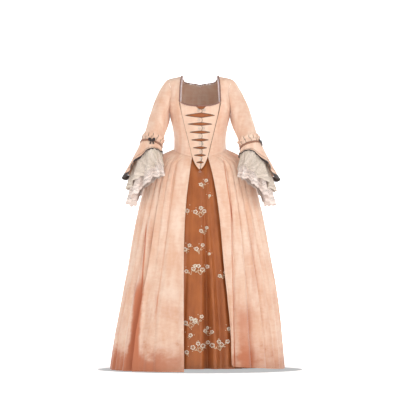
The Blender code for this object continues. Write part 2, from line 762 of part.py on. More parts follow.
def arm_ring(arm, along, radius, turn):
    """Point round the forearm at the elbow: turn 0 is outward, 0.25 back, 0.5 inward."""
    axis = ELBOW_AXIS.normalized()
    outward = (Vector((1.0, 0.0, 0.0)) - axis * axis.x).normalized()
    backward = outward.cross(axis)
    angle = 2 * math.pi * turn
    spoke = outward * math.cos(angle) + backward * math.sin(angle)
    return arm.elbow + axis * along + spoke * radius


def sleeve_rows(side):
    """Rings of points from the armhole to the elbow, each from the top of the arm forwards."""
    arm = ARMS[side]
    start = armhole(side)
    rows = []
    for k in range(SLEEVE_ROWS + 1):
        s = k / SLEEVE_ROWS
        row = []
        for i, point in enumerate(start):
            v = i / len(start)
            end = arm_ring(arm, 0.0, SLEEVE_END_RADIUS, -v)
            topness = 0.5 + 0.5 * math.cos(2 * math.pi * v)
            leave = SLEEVE_UNDER.lerp(SLEEVE_TOP, topness) * (end - point).length
            arrive = ELBOW_AXIS.normalized() * (end - point).length
            a, b = 2 * s ** 3 - 3 * s ** 2 + 1, s ** 3 - 2 * s ** 2 + s
            c, d = -2 * s ** 3 + 3 * s ** 2, s ** 3 - s ** 2
            row.append(sided(side, point * a + leave * b + end * c + arrive * d))
        rows.append(row)
    return rows


def parted(points):
    """A row of points with both ends drawn back from the seam."""
    drawn = list(points)
    for end, beside in ((0, 1), (-1, -2)):
        drawn[end] += (points[beside] - points[end]).normalized() * SLEEVE_SEAM_HALF
    return drawn


def sleeve(side):
    """Upper and under sleeve, which meet at two seams on the inner side of the arm."""
    rows = sleeve_rows(side)
    front, back = SLEEVE_SEAMS
    axis = [sum(row, Vector()) / len(row) for row in rows]
    pieces = {
        "sleeve_upper_": [row[back:] + row[:front + 1] for row in rows],
        "sleeve_under_": [row[front:back + 1] for row in rows],
    }
    for name, points in pieces.items():
        cloth(name + side, [parted([point.copy() for point in row]) for row in points], SILK, "robe_silk",
              centre_of=lambda point: min(axis, key=lambda place: (place - point).length))


def clear_of_skirt(point, clearance):
    """Move a point straight away from the body's axis until it clears the skirt."""
    half, front, back, _ = section(SKIRT, point.z, -clearance)
    depth = front if point.y < 0 else back
    inside = (abs(point.x) / half) ** SKIRT_SQUARENESS + (abs(point.y) / depth) ** SKIRT_SQUARENESS
    if point.z > WAIST_CLEAR_Z or inside >= 1:
        return point
    grow = inside ** (-1 / SKIRT_SQUARENESS)
    return Vector((point.x * grow, point.y * grow, point.z))


def ruffle_point(arm, layer, turn, share):
    """Point of a hanging ruffle, at a share of its length down from the gathered edge."""
    longer = (0.5 + 0.5 * math.cos(2 * math.pi * (turn - LONGEST_TURN))) ** RUFFLE_GATHERS_BACK
    length = blend(layer.shortest, layer.longest, longer) * share
    flare = blend(layer.flare_least, layer.flare_most, longer) * share
    start = arm_ring(arm, RUFFLE_ALONG, layer.radius, turn)
    spoke = start - arm.elbow
    spoke = Vector((spoke.x, spoke.y, 0.0)).normalized()
    wave = math.cos(2 * math.pi * RUFFLE_WAVES * turn)
    sway = spoke * (flare + wave * RUFFLE_SWAY * length)
    point = start + sway - Vector((0.0, 0.0, length))
    return clear_of_skirt(point, layer.clearance)


def ruffle(side, name, layer, finish, thickness, hem_share=1.0):
    arm = ARMS[side]
    rows = []
    for share in [row * hem_share for row in RUFFLE_ROWS]:
        turns = [i / RUFFLE_COLUMNS for i in range(RUFFLE_COLUMNS)]
        rows.append([sided(side, ruffle_point(arm, layer, turn, share)) for turn in turns])
    centre = sided(side, arm.elbow)
    cloth(name + side, rows, thickness, finish, closed=True,
          centre_of=lambda point: Vector((centre.x, centre.y, point.z)))


def flounce_ribbon(side, layer):
    """Dark ribbon that goes on from the silk flounce's edge, all round."""
    arm = ARMS[side]
    centre = sided(side, arm.elbow)
    rows = [[], []]
    for i in range(RUFFLE_COLUMNS):
        turn = i / RUFFLE_COLUMNS
        middle = sided(side, ruffle_point(arm, layer, turn, FLOUNCE_SHARE * RUFFLE_ROWS[-2]))
        edge = sided(side, ruffle_point(arm, layer, turn, FLOUNCE_SHARE))
        way = (edge - middle) / (1 - RUFFLE_ROWS[-2])
        rows[0].append(edge + way.normalized() * RIBBON_GAP)
        rows[1].append(edge + way * (1 / FLOUNCE_SHARE - 1))
    cloth("flounce_ribbon_" + side, rows, RIBBON, "dark_ribbon", closed=True,
          centre_of=lambda point: Vector((centre.x, centre.y, point.z)))


def cuff_heading(side):
    """Ruched band above the elbow, gathered between its edges."""
    arm = ARMS[side]
    count = HEADING_WAVES * 2
    rows = []
    for level in HEADING:
        row = []
        for i in range(count):
            radius = level.radius + (level.wave if i % 2 else 0.0)
            row.append(sided(side, arm_ring(arm, level.along, radius, i / count)))
        rows.append(row)
    centre = sided(side, arm.elbow)
    cloth("cuff_heading_" + side, rows, SILK, "robe_silk", closed=True,
          centre_of=lambda point: centre)


def braid_ring(side):
    """Braid round the elbow, between the heading and the ruffles."""
    arm = ARMS[side]
    rings = []
    for i in range(BRAID_SEGMENTS):
        ring = []
        for k in range(BRAID_SIDES):
            angle = 2 * math.pi * k / BRAID_SIDES
            along = BRAID_RADIUS * math.sin(angle)
            radius = BRAID_RING + BRAID_RADIUS * math.cos(angle)
            ring.append(sided(side, arm_ring(arm, along, radius, i / BRAID_SEGMENTS)))
        rings.append(ring)
    solid_rings("cuff_braid_" + side, rings, "braid", looped=True)


def solid_rings(name, rings, finish, looped=False):
    """Closed solid through rings of points, capped at its ends or joined into a loop."""
    grid = bmesh.new()
    corners = [[grid.verts.new(point) for point in ring] for ring in rings]
    pairs = list(zip(corners, corners[1:]))
    if looped:
        pairs.append((corners[-1], corners[0]))
    for lower, upper in pairs:
        for i in range(len(lower)):
            j = (i + 1) % len(lower)
            grid.faces.new((lower[i], lower[j], upper[j], upper[i]))
    if not looped:
        grid.faces.new(corners[0][::-1])
        grid.faces.new(corners[-1])
    bmesh.ops.recalc_face_normals(grid, faces=grid.faces[:])
    mesh = bpy.data.meshes.new(name)
    grid.to_mesh(mesh)
    grid.free()
    mesh.shade_smooth()
    link_piece(bpy.data.objects.new(name, mesh), finish)


def bow(side):
    """Ribbon bow on the cuff braid, cut as one flat outline."""
    arm = ARMS[side]
    outline = bpy.data.curves.new("cuff_bow_" + side, "CURVE")
    outline.dimensions = "2D"
    outline.fill_mode = "BOTH"
    outline.extrude = BOW_THICKNESS / 2
    spline = outline.splines.new("POLY")
    right = [Vector((x, y)) * BOW_SIZE for x, y in BOW_OUTLINE]
    left = [Vector((-point.x, point.y)) for point in right[::-1][1:-1]]
    spline.points.add(len(right + left) - 1)
    for target, point in zip(spline.points, right + left):
        target.co = (point.x, point.y, 0.0, 1.0)
    spline.use_cyclic_u = True
    flat = bpy.data.objects.new("bow_outline_" + side, outline)
    bpy.context.scene.collection.objects.link(flat)
    bpy.context.view_layer.update()
    evaluated = flat.evaluated_get(bpy.context.evaluated_depsgraph_get())
    mesh = bpy.data.meshes.new_from_object(evaluated)
    bpy.data.objects.remove(flat)
    grid = bmesh.new()
    grid.from_mesh(mesh)
    bmesh.ops.remove_doubles(grid, verts=grid.verts[:], dist=WELD)
    bmesh.ops.recalc_face_normals(grid, faces=grid.faces[:])
    grid.to_mesh(mesh)
    grid.free()
    mesh.name = "cuff_bow_" + side
    piece = link_piece(bpy.data.objects.new("cuff_bow_" + side, mesh), "dark_ribbon")
    away = sided(side, arm_ring(arm, 0.0, 1.0, arm.bow_turn) - arm.elbow)
    seat = BRAID_RING + BRAID_RADIUS + SEAM_GAP + BOW_THICKNESS / 2
    piece.location = sided(side, arm.elbow) + away * seat
    piece.rotation_euler = away.to_track_quat("Z", "Y").to_euler()


def front_edge(side):
    """Points up the bodice front's neck edge, each with the ways into the cloth and out of it."""
    places = []
    for row in FIT[5:]:
        turn = torso_turn(row.x_front, row.z_front)
        here = torso_point(turn, row.z_front, 0.0, row.lift)
        t = 1 / FIT_COLUMNS
        beside = torso_point(blend(turn, row.turn_side, t), blend(row.z_front, row.z_side, t),
                             0.0, row.lift)
        places.append((here, (beside - here).normalized()))
    return places


def back_edge():
    """Points down the back neck edge from the shoulder seam to centre back, on the +X side."""
    places = []
    for row in FIT[:6:-1]:
        turn = 1.0 - back_turn(row.x_back, row.z_back)
        places.append(torso_point(turn, row.z_back, 0.0, row.lift))
    return places


def along_path(points, count):
    """Evenly spaced points on the straight stretches between the given ones."""
    reach = [0.0]
    for before, after in zip(points, points[1:]):
        reach.append(reach[-1] + (after - before).length)
    path = []
    for i in range(count + 1):
        place = reach[-1] * i / count
        k = min(bisect.bisect_right(reach, place) - 1, len(points) - 2)
        path.append(points[k].lerp(points[k + 1], (place - reach[k]) / (reach[k + 1] - reach[k])))
    return path


def gathered_braid(name, points, waves):
    """Narrow ruched braid: a soft tube that swells and draws in along its path."""
    count = waves * 2
    path = along_path(points, count)
    rings = []
    for i, point in enumerate(path):
        ahead = (path[min(i + 1, count)] - path[max(i - 1, 0)]).normalized()
        out = (point - NECK_CENTRE)
        out = (out - ahead * out.dot(ahead)).normalized()
        across = ahead.cross(out)
        swell = NECK_BRAID_RADIUS * (1.0 if i % 2 else NECK_BRAID_DRAWN)
        ring = []
        for k in range(BRAID_SIDES):
            angle = 2 * math.pi * k / BRAID_SIDES
            ring.append(point + across * swell * math.cos(angle) + out * swell * math.sin(angle))
        rings.append(ring)
    solid_rings(name, rings, "braid")


def neck_braids():
    """Braid round the neck opening: along the stomacher, up both fronts and round the back."""
    lift = Vector((0.0, -(NECK_BRAID_RADIUS + TAB_LIFT), 0.0))
    front = []
    for k in range(-NECK_FRONT_POINTS, NECK_FRONT_POINTS + 1):
        x = NECK_FRONT_REACH * k / NECK_FRONT_POINTS
        z = neckline_z(x) + NECK_BRAID_RISE
        front.append(torso_point(torso_turn(x, z), z) + lift)
        front[-1].x = math.copysign(x, k) if k else 0.0
    gathered_braid("neck_braid_front", front, NECK_WAVES["front"])
    for side in SIDES:
        points = []
        for here, inward in front_edge(side):
            out = (here - NECK_CENTRE).normalized()
            place = here - inward * NECK_BRAID_ASIDE + out * NECK_BRAID_RAISED
            points.append(sided(side, place))
        points[0].z += NECK_SIDE_START
        points[-1].y -= NECK_SEAM_HALF
        gathered_braid("neck_braid_" + side, points, NECK_WAVES["side"])
    half = [point + Vector((0.0, 0.0, NECK_BRAID_ASIDE)) for point in back_edge()]
    half[0] = half[0] + Vector((0.0, NECK_SEAM_HALF, 0.0))
    mirrored = [Vector((-point.x, point.y, point.z)) for point in half[::-1]]
    gathered_braid("neck_braid_back", half[:-1] + mirrored, NECK_WAVES["back"])


def neck_frill(side):
    """Narrow lace frill that stands from the neck edge towards the opening."""
    places = front_edge(side)
    count = FRILL_WAVES * 2
    edge = along_path([here for here, _ in places], count)
    into = along_path([here + way for here, way in places], count)
    rows = [[], []]
    for i, (point, beside) in enumerate(zip(edge, into)):
        way = (beside - point).normalized()
        ahead = edge[min(i + 1, count)] - edge[max(i - 1, 0)]
        out = way.cross(ahead).normalized()
        out *= math.copysign(1.0, out.dot(point - NECK_CENTRE))
        under = point - out * (SILK + FRILL_UNDER)
        rows[0].append(sided(side, under + way * FRILL_START))
        sway = FRILL_SWAY if i % 2 else -FRILL_SWAY
        rows[1].append(sided(side, under + out * sway - way * FRILL_REACH))
    cloth("neck_frill_" + side, rows, LACE, "neck_frill",
          centre_of=lambda point: NECK_CENTRE)


def build():
    for old in list(bpy.data.objects):
        bpy.data.objects.remove(old)
    collection_named("robe_a_la_francaise")
    for side in SIDES:
        bodice_front(side)
        bodice_back(side)
        stomacher_half(side)
        robe_front(side)
        sack_back(side)
        sleeve(side)
        cuff_heading(side)
        braid_ring(side)
        ruffle(side, "silk_flounce_", SILK_FLOUNCE, "robe_silk", SILK, FLOUNCE_SHARE)
        flounce_ribbon(side, SILK_FLOUNCE)
        ruffle(side, "lace_upper_", UPPER_LACE, "lace", LACE)
        ruffle(side, "lace_lower_", LOWER_LACE, "lace", LACE)
        bow(side)
        neck_frill(side)
    stomacher_underlay()
    pendant()
    petticoat()
    neck_braids()


build()
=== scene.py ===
# %% [markdown]
# # A robe à la française in Blender
# This lesson dresses a plain model of an eighteenth-century gown: a pale silk robe, open in front
# over a rust satin petticoat, with a tabbed stomacher, elbow cuffs and a loose pleated back. The
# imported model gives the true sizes. Every piece below is made again as thin cloth on the same
# lines, with finer folds, and gets the finish that the photograph shows.

import bisect
import math
from collections import namedtuple
from functools import partial

import bmesh
import bpy
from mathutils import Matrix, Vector, noise


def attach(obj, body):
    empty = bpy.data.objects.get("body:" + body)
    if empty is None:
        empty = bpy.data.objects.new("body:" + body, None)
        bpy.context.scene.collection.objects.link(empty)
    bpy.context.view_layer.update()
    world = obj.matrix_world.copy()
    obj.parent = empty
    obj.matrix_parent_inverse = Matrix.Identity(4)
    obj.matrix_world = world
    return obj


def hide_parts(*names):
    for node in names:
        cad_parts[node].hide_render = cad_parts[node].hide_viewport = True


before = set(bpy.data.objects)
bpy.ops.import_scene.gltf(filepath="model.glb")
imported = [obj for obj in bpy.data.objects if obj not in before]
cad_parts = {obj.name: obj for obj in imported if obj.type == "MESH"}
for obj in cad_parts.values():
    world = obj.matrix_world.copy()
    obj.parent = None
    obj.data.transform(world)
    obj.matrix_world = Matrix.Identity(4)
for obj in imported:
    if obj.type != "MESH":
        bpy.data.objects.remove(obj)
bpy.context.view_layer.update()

# %% Small helpers
FULL_TURN = 2 * math.pi


def turns_of(count):
    """Angles of an even ring."""
    return [FULL_TURN * k / count for k in range(count)]


def placed(name, grid):
    """The grid as an object in the scene."""
    mesh = bpy.data.meshes.new(name)
    grid.to_mesh(mesh)
    grid.free()
    piece = bpy.data.objects.new(name, mesh)
    bpy.context.scene.collection.objects.link(piece)
    return piece


def wander(x, y, z):
    """Smooth noise from -1 to 1 at three numbers."""
    return noise.noise(Vector((x, y, z)))


def level_way(vector):
    """The vector's level direction."""
    return Vector((vector.x, vector.y, 0.0)).normalized()


# %% [markdown]
# ## Camera, floor and light
# The photograph looks straight at the gown from far away, so its hem is almost a level line. A long
# lens from fourteen metres keeps that. The floor is a wide shallow bowl whose rim glows white all
# round, so that the gown has the same pale ground from every side; a plain plane would show its far
# edge. Large soft lamps leave only a faint shadow at the hem; one lamp would have thrown hard pleat
# shadows that the photograph doesn't have.

# %% Camera
HEM_Z = -1.431
VIEW_WIDTH = 1.955
CAMERA_AWAY = 14.0
CAMERA_Z = -0.90
AIM_Z = -0.605

camera = bpy.data.objects.new("camera", bpy.data.cameras.new("camera"))
bpy.context.scene.collection.objects.link(camera)
camera.location = (0.0, -CAMERA_AWAY, CAMERA_Z)
camera.rotation_euler = (Vector((0.0, 0.0, AIM_Z)) - camera.location).to_track_quat("-Z", "Y").to_euler()
camera.data.lens = camera.data.sensor_width * CAMERA_AWAY / VIEW_WIDTH
bpy.context.scene.camera = camera
print("camera lens", round(camera.data.lens, 1), "mm")

# %% Floor and lamps
bpy.context.scene.view_settings.view_transform = "Standard"

grid = bmesh.new()
BOWL = [(0.5, 0.0), (3.0, 0.0), (8.0, 0.0), (15.5, 0.0),
        (17.5, 0.15), (19.5, 0.9), (21.0, 3.0), (21.5, 9.0)]
BOWL_SIDES = 48
FLOOR_BELOW = 0.0008
rims = []
for radius, rise in BOWL:
    rims.append([grid.verts.new((radius * math.cos(a), radius * math.sin(a), HEM_Z - FLOOR_BELOW + rise))
                 for a in turns_of(BOWL_SIDES)])
grid.faces.new(rims[0])
for near, far in zip(rims, rims[1:]):
    for k in range(BOWL_SIDES):
        m = (k + 1) % BOWL_SIDES
        grid.faces.new((near[k], near[m], far[m], far[k]))
floor = placed("floor", grid)
floor.data.shade_smooth()
paint = bpy.data.materials.new("floor_paint")
paint.use_nodes = True
plaster = paint.node_tree.nodes["Principled BSDF"]
plaster.inputs["Base Color"].default_value = (0.93, 0.93, 0.93, 1.0)
plaster.inputs["Roughness"].default_value = 0.9
plaster.inputs["Emission Strength"].default_value = 1.0
place = paint.node_tree.nodes.new("ShaderNodeNewGeometry")
away = paint.node_tree.nodes.new("ShaderNodeVectorMath")
away.operation = "LENGTH"
glow = paint.node_tree.nodes.new("ShaderNodeMapRange")
for key, value in (("From Min", 1.2), ("From Max", 7.0), ("To Min", 0.50), ("To Max", 0.97)):
    glow.inputs[key].default_value = value
paint.node_tree.links.new(place.outputs["Position"], away.inputs[0])
paint.node_tree.links.new(away.outputs["Value"], glow.inputs["Value"])
paint.node_tree.links.new(glow.outputs["Result"], plaster.inputs["Emission Color"])
floor.data.materials.append(paint)

Lamp = namedtuple("Lamp", "name place size power")
LAMPS = [
    Lamp("key", (3.4, -4.2, 2.2), 2.2, 60),
    Lamp("fill", (-3.8, -3.6, 1.2), 2.6, 12),
    Lamp("front", (0.0, -6.5, 1.6), 3.0, 6),
    Lamp("back_left", (-3.0, 3.6, 2.4), 2.6, 36),
    Lamp("back_right", (3.0, 3.6, 2.4), 2.6, 36),
    Lamp("top", (0.0, -1.2, 3.2), 3.0, 42),
]
for lamp in LAMPS:
    light = bpy.data.objects.new("lamp_" + lamp.name, bpy.data.lights.new("lamp_" + lamp.name, "AREA"))
    light.data.shape = "DISK"
    light.data.size = lamp.size
    light.data.energy = lamp.power
    light.location = lamp.place
    aim = Vector((0.0, 0.0, -0.7)) - light.location
    light.rotation_euler = aim.to_track_quat("-Z", "Y").to_euler()
    bpy.context.scene.collection.objects.link(light)

world = bpy.data.worlds.new("studio")
bpy.context.scene.world = world
world.use_nodes = True
world.node_tree.nodes["Background"].inputs["Color"].default_value = (1.0, 0.99, 0.975, 1.0)
world.node_tree.nodes["Background"].inputs["Strength"].default_value = 0.10
print("lamps:", len(LAMPS))

# %% [markdown]
# ## The figure's sizes
# The same tables that shaped the plain model shape the cloth, so each piece sits exactly where its
# solid is. A table row is a horizontal section or a fold; a smooth curve runs through the rows.
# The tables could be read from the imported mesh, but sizes with names can be changed by hand.

# %% Sections of the fitted body and of the skirt
SILK = 0.0015
LINEN = 0.0011
# Walls of the cloth pieces: plain silk and satin, gathered silk, net lace, frill and bow ribbon.
CLOTH_WALL = 0.0012
GATHERED_WALL = 0.0010
NET_WALL = 0.0008
FRILL_WALL = 0.0007
BOW_WALL = 0.0008
SEAM_GAP = 0.0004
LAYER_GAP = 0.0005
TORSO_SQUARENESS = 2.3
SKIRT_SQUARENESS = 2.2
SIDE_TURN = 0.5
SIDES = {"left": -1.0, "right": 1.0}
# Horizontal sections. half_width is at the side seam, front and back are depths from the Y axis.
Section = namedtuple("Section", "z half_width front back shift")

TORSO = [
    Section(-0.470, 0.150, 0.134, 0.100, 0.0),
    Section(-0.400, 0.138, 0.127, 0.092, 0.0),
    Section(-0.352, 0.1270, 0.119, 0.086, 0.0),
    Section(-0.310, 0.1265, 0.116, 0.086, 0.0),
    Section(-0.260, 0.1330, 0.120, 0.094, 0.0),
    Section(-0.210, 0.1440, 0.126, 0.103, 0.0),
    Section(-0.170, 0.1530, 0.129, 0.106, 0.0),
    Section(-0.135, 0.1570, 0.127, 0.105, 0.0),
    Section(-0.095, 0.1535, 0.122, 0.103, 0.0),
    Section(-0.055, 0.1575, 0.118, 0.100, 0.0),
    Section(-0.030, 0.1640, 0.116, 0.098, 0.0),
    Section(-0.018, 0.1690, 0.115, 0.098, 0.0),
    Section(0.000, 0.1700, 0.115, 0.098, 0.0),
]

SKIRT = [
    Section(-0.340, 0.152, 0.120, 0.105, 0.0),
    Section(-0.366, 0.178, 0.126, 0.118, 0.0),
    Section(-0.388, 0.198, 0.133, 0.132, 0.0),
    Section(-0.420, 0.224, 0.143, 0.152, 0.0),
    Section(-0.470, 0.251, 0.157, 0.184, 0.0),
    Section(-0.530, 0.271, 0.174, 0.220, 0.0),
    Section(-0.600, 0.288, 0.195, 0.258, 0.0),
    Section(-0.700, 0.311, 0.222, 0.302, 0.0),
    Section(-0.800, 0.330, 0.250, 0.340, 0.0),
    Section(-0.930, 0.353, 0.284, 0.385, 0.001),
    Section(-1.020, 0.371, 0.308, 0.413, -0.001),
    Section(-1.150, 0.393, 0.340, 0.450, -0.005),
    Section(-1.260, 0.409, 0.366, 0.478, -0.008),
    Section(HEM_Z, 0.427, 0.400, 0.515, -0.010),
]

# %% Smooth curves through the tables
class Curve:
    """A smooth line through points, which never overshoots them."""

    def __init__(self, xs, ys):
        slopes = [(ys[i + 1] - ys[i]) / (xs[i + 1] - xs[i]) for i in range(len(xs) - 1)]
        inner = [0.0 if p * q <= 0 else 2 * p * q / (p + q) for p, q in zip(slopes, slopes[1:])]
        self.xs = xs
        self.ys = ys
        self.tangents = [slopes[0]] + inner + [slopes[-1]]

    def __call__(self, at):
        xs, ys, tangents = self.xs, self.ys, self.tangents
        if at <= xs[0]:
            return ys[0]
        if at >= xs[-1]:
            return ys[-1]
        i = bisect.bisect_right(xs, at) - 1
        width = xs[i + 1] - xs[i]
        t = (at - xs[i]) / width
        start = ys[i] * (1 + 2 * t) * (1 - t) ** 2 + tangents[i] * width * t * (1 - t) ** 2
        return start + ys[i + 1] * t * t * (3 - 2 * t) + tangents[i + 1] * width * t * t * (t - 1)


CURVES = {}


def read(table, column, at, key="z"):
    """Smooth value of a table's column at a value of its key column."""
    named = (id(table), column, key)
    if named not in CURVES:
        rows = sorted(table, key=lambda row: getattr(row, key))
        CURVES[named] = Curve([getattr(row, key) for row in rows], [getattr(row, column) for row in rows])
    return CURVES[named](at)


def blend(a, b, t):
    return a + (b - a) * t


def ease(t):
    t = min(max(t, 0.0), 1.0)
    return t * t * (3 - 2 * t)


def steps(count, low=0.0, high=1.0):
    return [low + (high - low) * i / count for i in range(count + 1)]


# %% Points of the sections
def section(table, z, inset=0.0):
    """Half width, front, back and sideways shift of a section, drawn in by an inset."""
    half, front, back = (read(table, name, z) - inset for name in ("half_width", "front", "back"))
    return half, front, back, read(table, "shift", z)


def section_point(size, turn, squareness, lift=1.0):
    """Point of a section at a turn from centre front, as (x, y), on the +X side."""
    half, front, back, _ = size
    angle = math.pi * turn
    power = 2.0 / squareness
    depth = front if turn < SIDE_TURN else back
    y = -math.copysign(depth * abs(math.cos(angle)) ** power, math.cos(angle))
    return half * abs(math.sin(angle)) ** power, y * lift


def turn_at(x, size, squareness):
    """Turn in front at which a section reaches a distance x from its middle."""
    return math.asin(min(abs(x) / size[0], 1.0) ** (squareness / 2.0)) / math.pi


def torso_point(turn, z, inset=0.0, lift=1.0):
    x, y = section_point(section(TORSO, z, inset), turn, TORSO_SQUARENESS, lift)
    return Vector((x, y, z))


def torso_turn(x, z):
    return turn_at(x, section(TORSO, z), TORSO_SQUARENESS)


def sided(side, point):
    return Vector((point.x * SIDES[side], point.y, point.z))


waist = section(TORSO, -0.352)
print("waist", round(2 * waist[0], 3), "m wide and", round(waist[1] + waist[2], 3), "m deep")

# %% [markdown]
# ## How every cloth piece is made
# On the real gown each piece is a flat cut of cloth. Here it is a grid of points from two rules,
# one across the cloth and one down it, pushed in and out along its own normals by its creases,
# then given a wall. The grid also carries two UV maps: `cloth`, in metres along the threads, for
# weave and stitching, and `place`, from 0 to 1 across and down the piece, for hems and edges.
# Sculpting could give the creases too, but creases in a table keep their real sizes.

# %% Creases
Crease = namedtuple("Crease", "across down to_across to_down width depth")


def crease_depth(creases, across, down):
    """Sum of soft troughs (negative depth) and ridges at a place, in shares of the piece."""
    total = 0.0
    for crease in creases:
        way = (crease.to_across - crease.across, crease.to_down - crease.down)
        rel = (across - crease.across, down - crease.down)
        length = way[0] ** 2 + way[1] ** 2
        t = min(max((rel[0] * way[0] + rel[1] * way[1]) / length, 0.0), 1.0)
        off = math.hypot(rel[0] - way[0] * t, rel[1] - way[1] * t) / crease.width
        if off < 3:
            total += crease.depth * math.exp(-off * off) * ease(1.0 - abs(2 * t - 1) ** 3)
    return total


def ripple(point, size, seed=0.0):
    """Gentle unevenness from -1 to 1, with bumps of about a given size in metres."""
    return noise.noise(Vector((point.x + seed, point.y, point.z)) / size)


# %% From a rule to a piece of cloth
def body_axis(point):
    return Vector((0.0, 0.0, point.z))


def lengths(points, closed):
    """Distances along a row of points from its first one."""
    way = [0.0]
    for here, after in zip(points, points[1:] + points[:1] if closed else points[1:]):
        way.append(way[-1] + (after - here).length)
    return way


def quads(grid, verts, cloth_at, place_at, closed=False, looped=False):
    """Faces between rows of verts; two rules give the maps at a corner's row and column."""
    maps = grid.loops.layers.uv
    cloth_map = maps.get("cloth") or maps.new("cloth")
    place_map = maps.get("place") or maps.new("place")
    high, wide = len(verts), len(verts[0])
    for j in range(high if looped else high - 1):
        for i in range(wide if closed else wide - 1):
            corners = ((j, i), (j, i + 1), (j + 1, i + 1), (j + 1, i))
            face = grid.faces.new([verts[row % high][column % wide] for row, column in corners])
            for loop, corner in zip(face.loops, corners):
                loop[cloth_map].uv = cloth_at(*corner)
                loop[place_map].uv = place_at(*corner)


CUTS = {}


def sew(name, point_at, across, down, wall, relief=None, closed=False, centre_of=body_axis):
    """A wall of cloth with its outer face on the grid of points, named and measured."""
    rows = [[point_at(u, v) for u in across] for v in down]
    count = len(across)
    ups = [lengths([row[i] for row in rows], False) for i in range(count)]
    widths = [lengths(row, closed) for row in rows]
    middle = [width[count // 2] for width in widths]
    grid = bmesh.new()
    verts = [[grid.verts.new(point) for point in row] for row in rows]
    quads(grid, verts, lambda j, i: (widths[j][i] - middle[j], -ups[i % count][j]),
          lambda j, i: (i / (count if closed else count - 1), j / (len(down) - 1)), closed)
    grid.normal_update()
    leaning = 0.0
    for face in grid.faces:
        centre = face.calc_center_median()
        leaning += (centre - centre_of(centre)).dot(face.normal)
    if leaning < 0:
        bmesh.ops.reverse_faces(grid, faces=grid.faces[:])
    if relief:
        grid.normal_update()
        flat = [vert for row in verts for vert in row]
        moves = [relief(across[n % count], down[n // count], vert.co) for n, vert in enumerate(flat)]
        normals = [vert.normal.copy() for vert in flat]
        for vert, normal, move in zip(flat, normals, moves):
            vert.co += normal * move
    CUTS[name] = (max(width[-1] for width in widths), max(up[-1] for up in ups),
                  sum(face.calc_area() for face in grid.faces))
    return walled(name, grid, wall)


def walled(name, grid, wall):
    """The grid as an object whose wall grows inwards, with crisp rims."""
    piece = placed(name, grid)
    mesh = piece.data
    modifier = piece.modifiers.new("wall", "SOLIDIFY")
    modifier.thickness = wall
    modifier.offset = -1.0
    bpy.context.view_layer.update()
    thick = bpy.data.meshes.new_from_object(piece.evaluated_get(bpy.context.evaluated_depsgraph_get()))
    piece.modifiers.clear()
    piece.data = thick
    bpy.data.meshes.remove(mesh)
    thick.name = name
    thick.shade_smooth()
    thick.set_sharp_from_angle(angle=math.radians(65))
    return piece


def dress(piece, finish, slot, *nodes):
    """Give a piece its finish, hang it from the root and hide the plain solids that it stands for."""
    piece.data.materials.clear()
    piece.data.materials.append(finish)
    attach(piece, "root")
    if nodes:
        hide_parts(*nodes)
    return piece


def cloth_sheet(piece):
    """Print the size that a piece is cut to."""
    width, length, area = CUTS[piece.name]
    min(area, width * length)
    print("%s: cut %.3f x %.3f m, %.3f square metres" % (piece.name, width, length, area))

# %% [markdown]
# ## Finishes written as sums
# Each finish is a graph of shader nodes. Wired by hand the graphs are hard to read, so one small
# class lets a socket be added and multiplied like a number. Colours go through Mix nodes, because
# a Math node would turn them grey. Only colour, roughness, alpha and bump change over the cloth.

# %% Values that can be summed
class Value:
    """An output socket in a finish that works in sums."""

    def __init__(self, finish, socket):
        self.finish = finish
        self.socket = socket

    def maths(self, operation, first, second=0.0):
        return self.finish.node("ShaderNodeMath", {"operation": operation}, {0: first, 1: second})

    def __add__(self, other):
        return self.maths("ADD", self, other)

    def __sub__(self, other):
        return self.maths("SUBTRACT", self, other)

    def __rsub__(self, other):
        return self.maths("SUBTRACT", other, self)

    def __mul__(self, other):
        return self.maths("MULTIPLY", self, other)

    __radd__ = __add__
    __rmul__ = __mul__

    def within(self, low, high):
        """0 below low, 1 above high and smooth between; high may be the lower one."""
        return self.finish.node("ShaderNodeMapRange", {"interpolation_type": "SMOOTHSTEP"},
                                {"Value": self, "From Min": low, "From Max": high})

    def waves(self, length):
        """A sine wave from 0 to 1 along this value, with waves of a length."""
        return self.maths("SINE", self * (FULL_TURN / length)) * 0.5 + 0.5


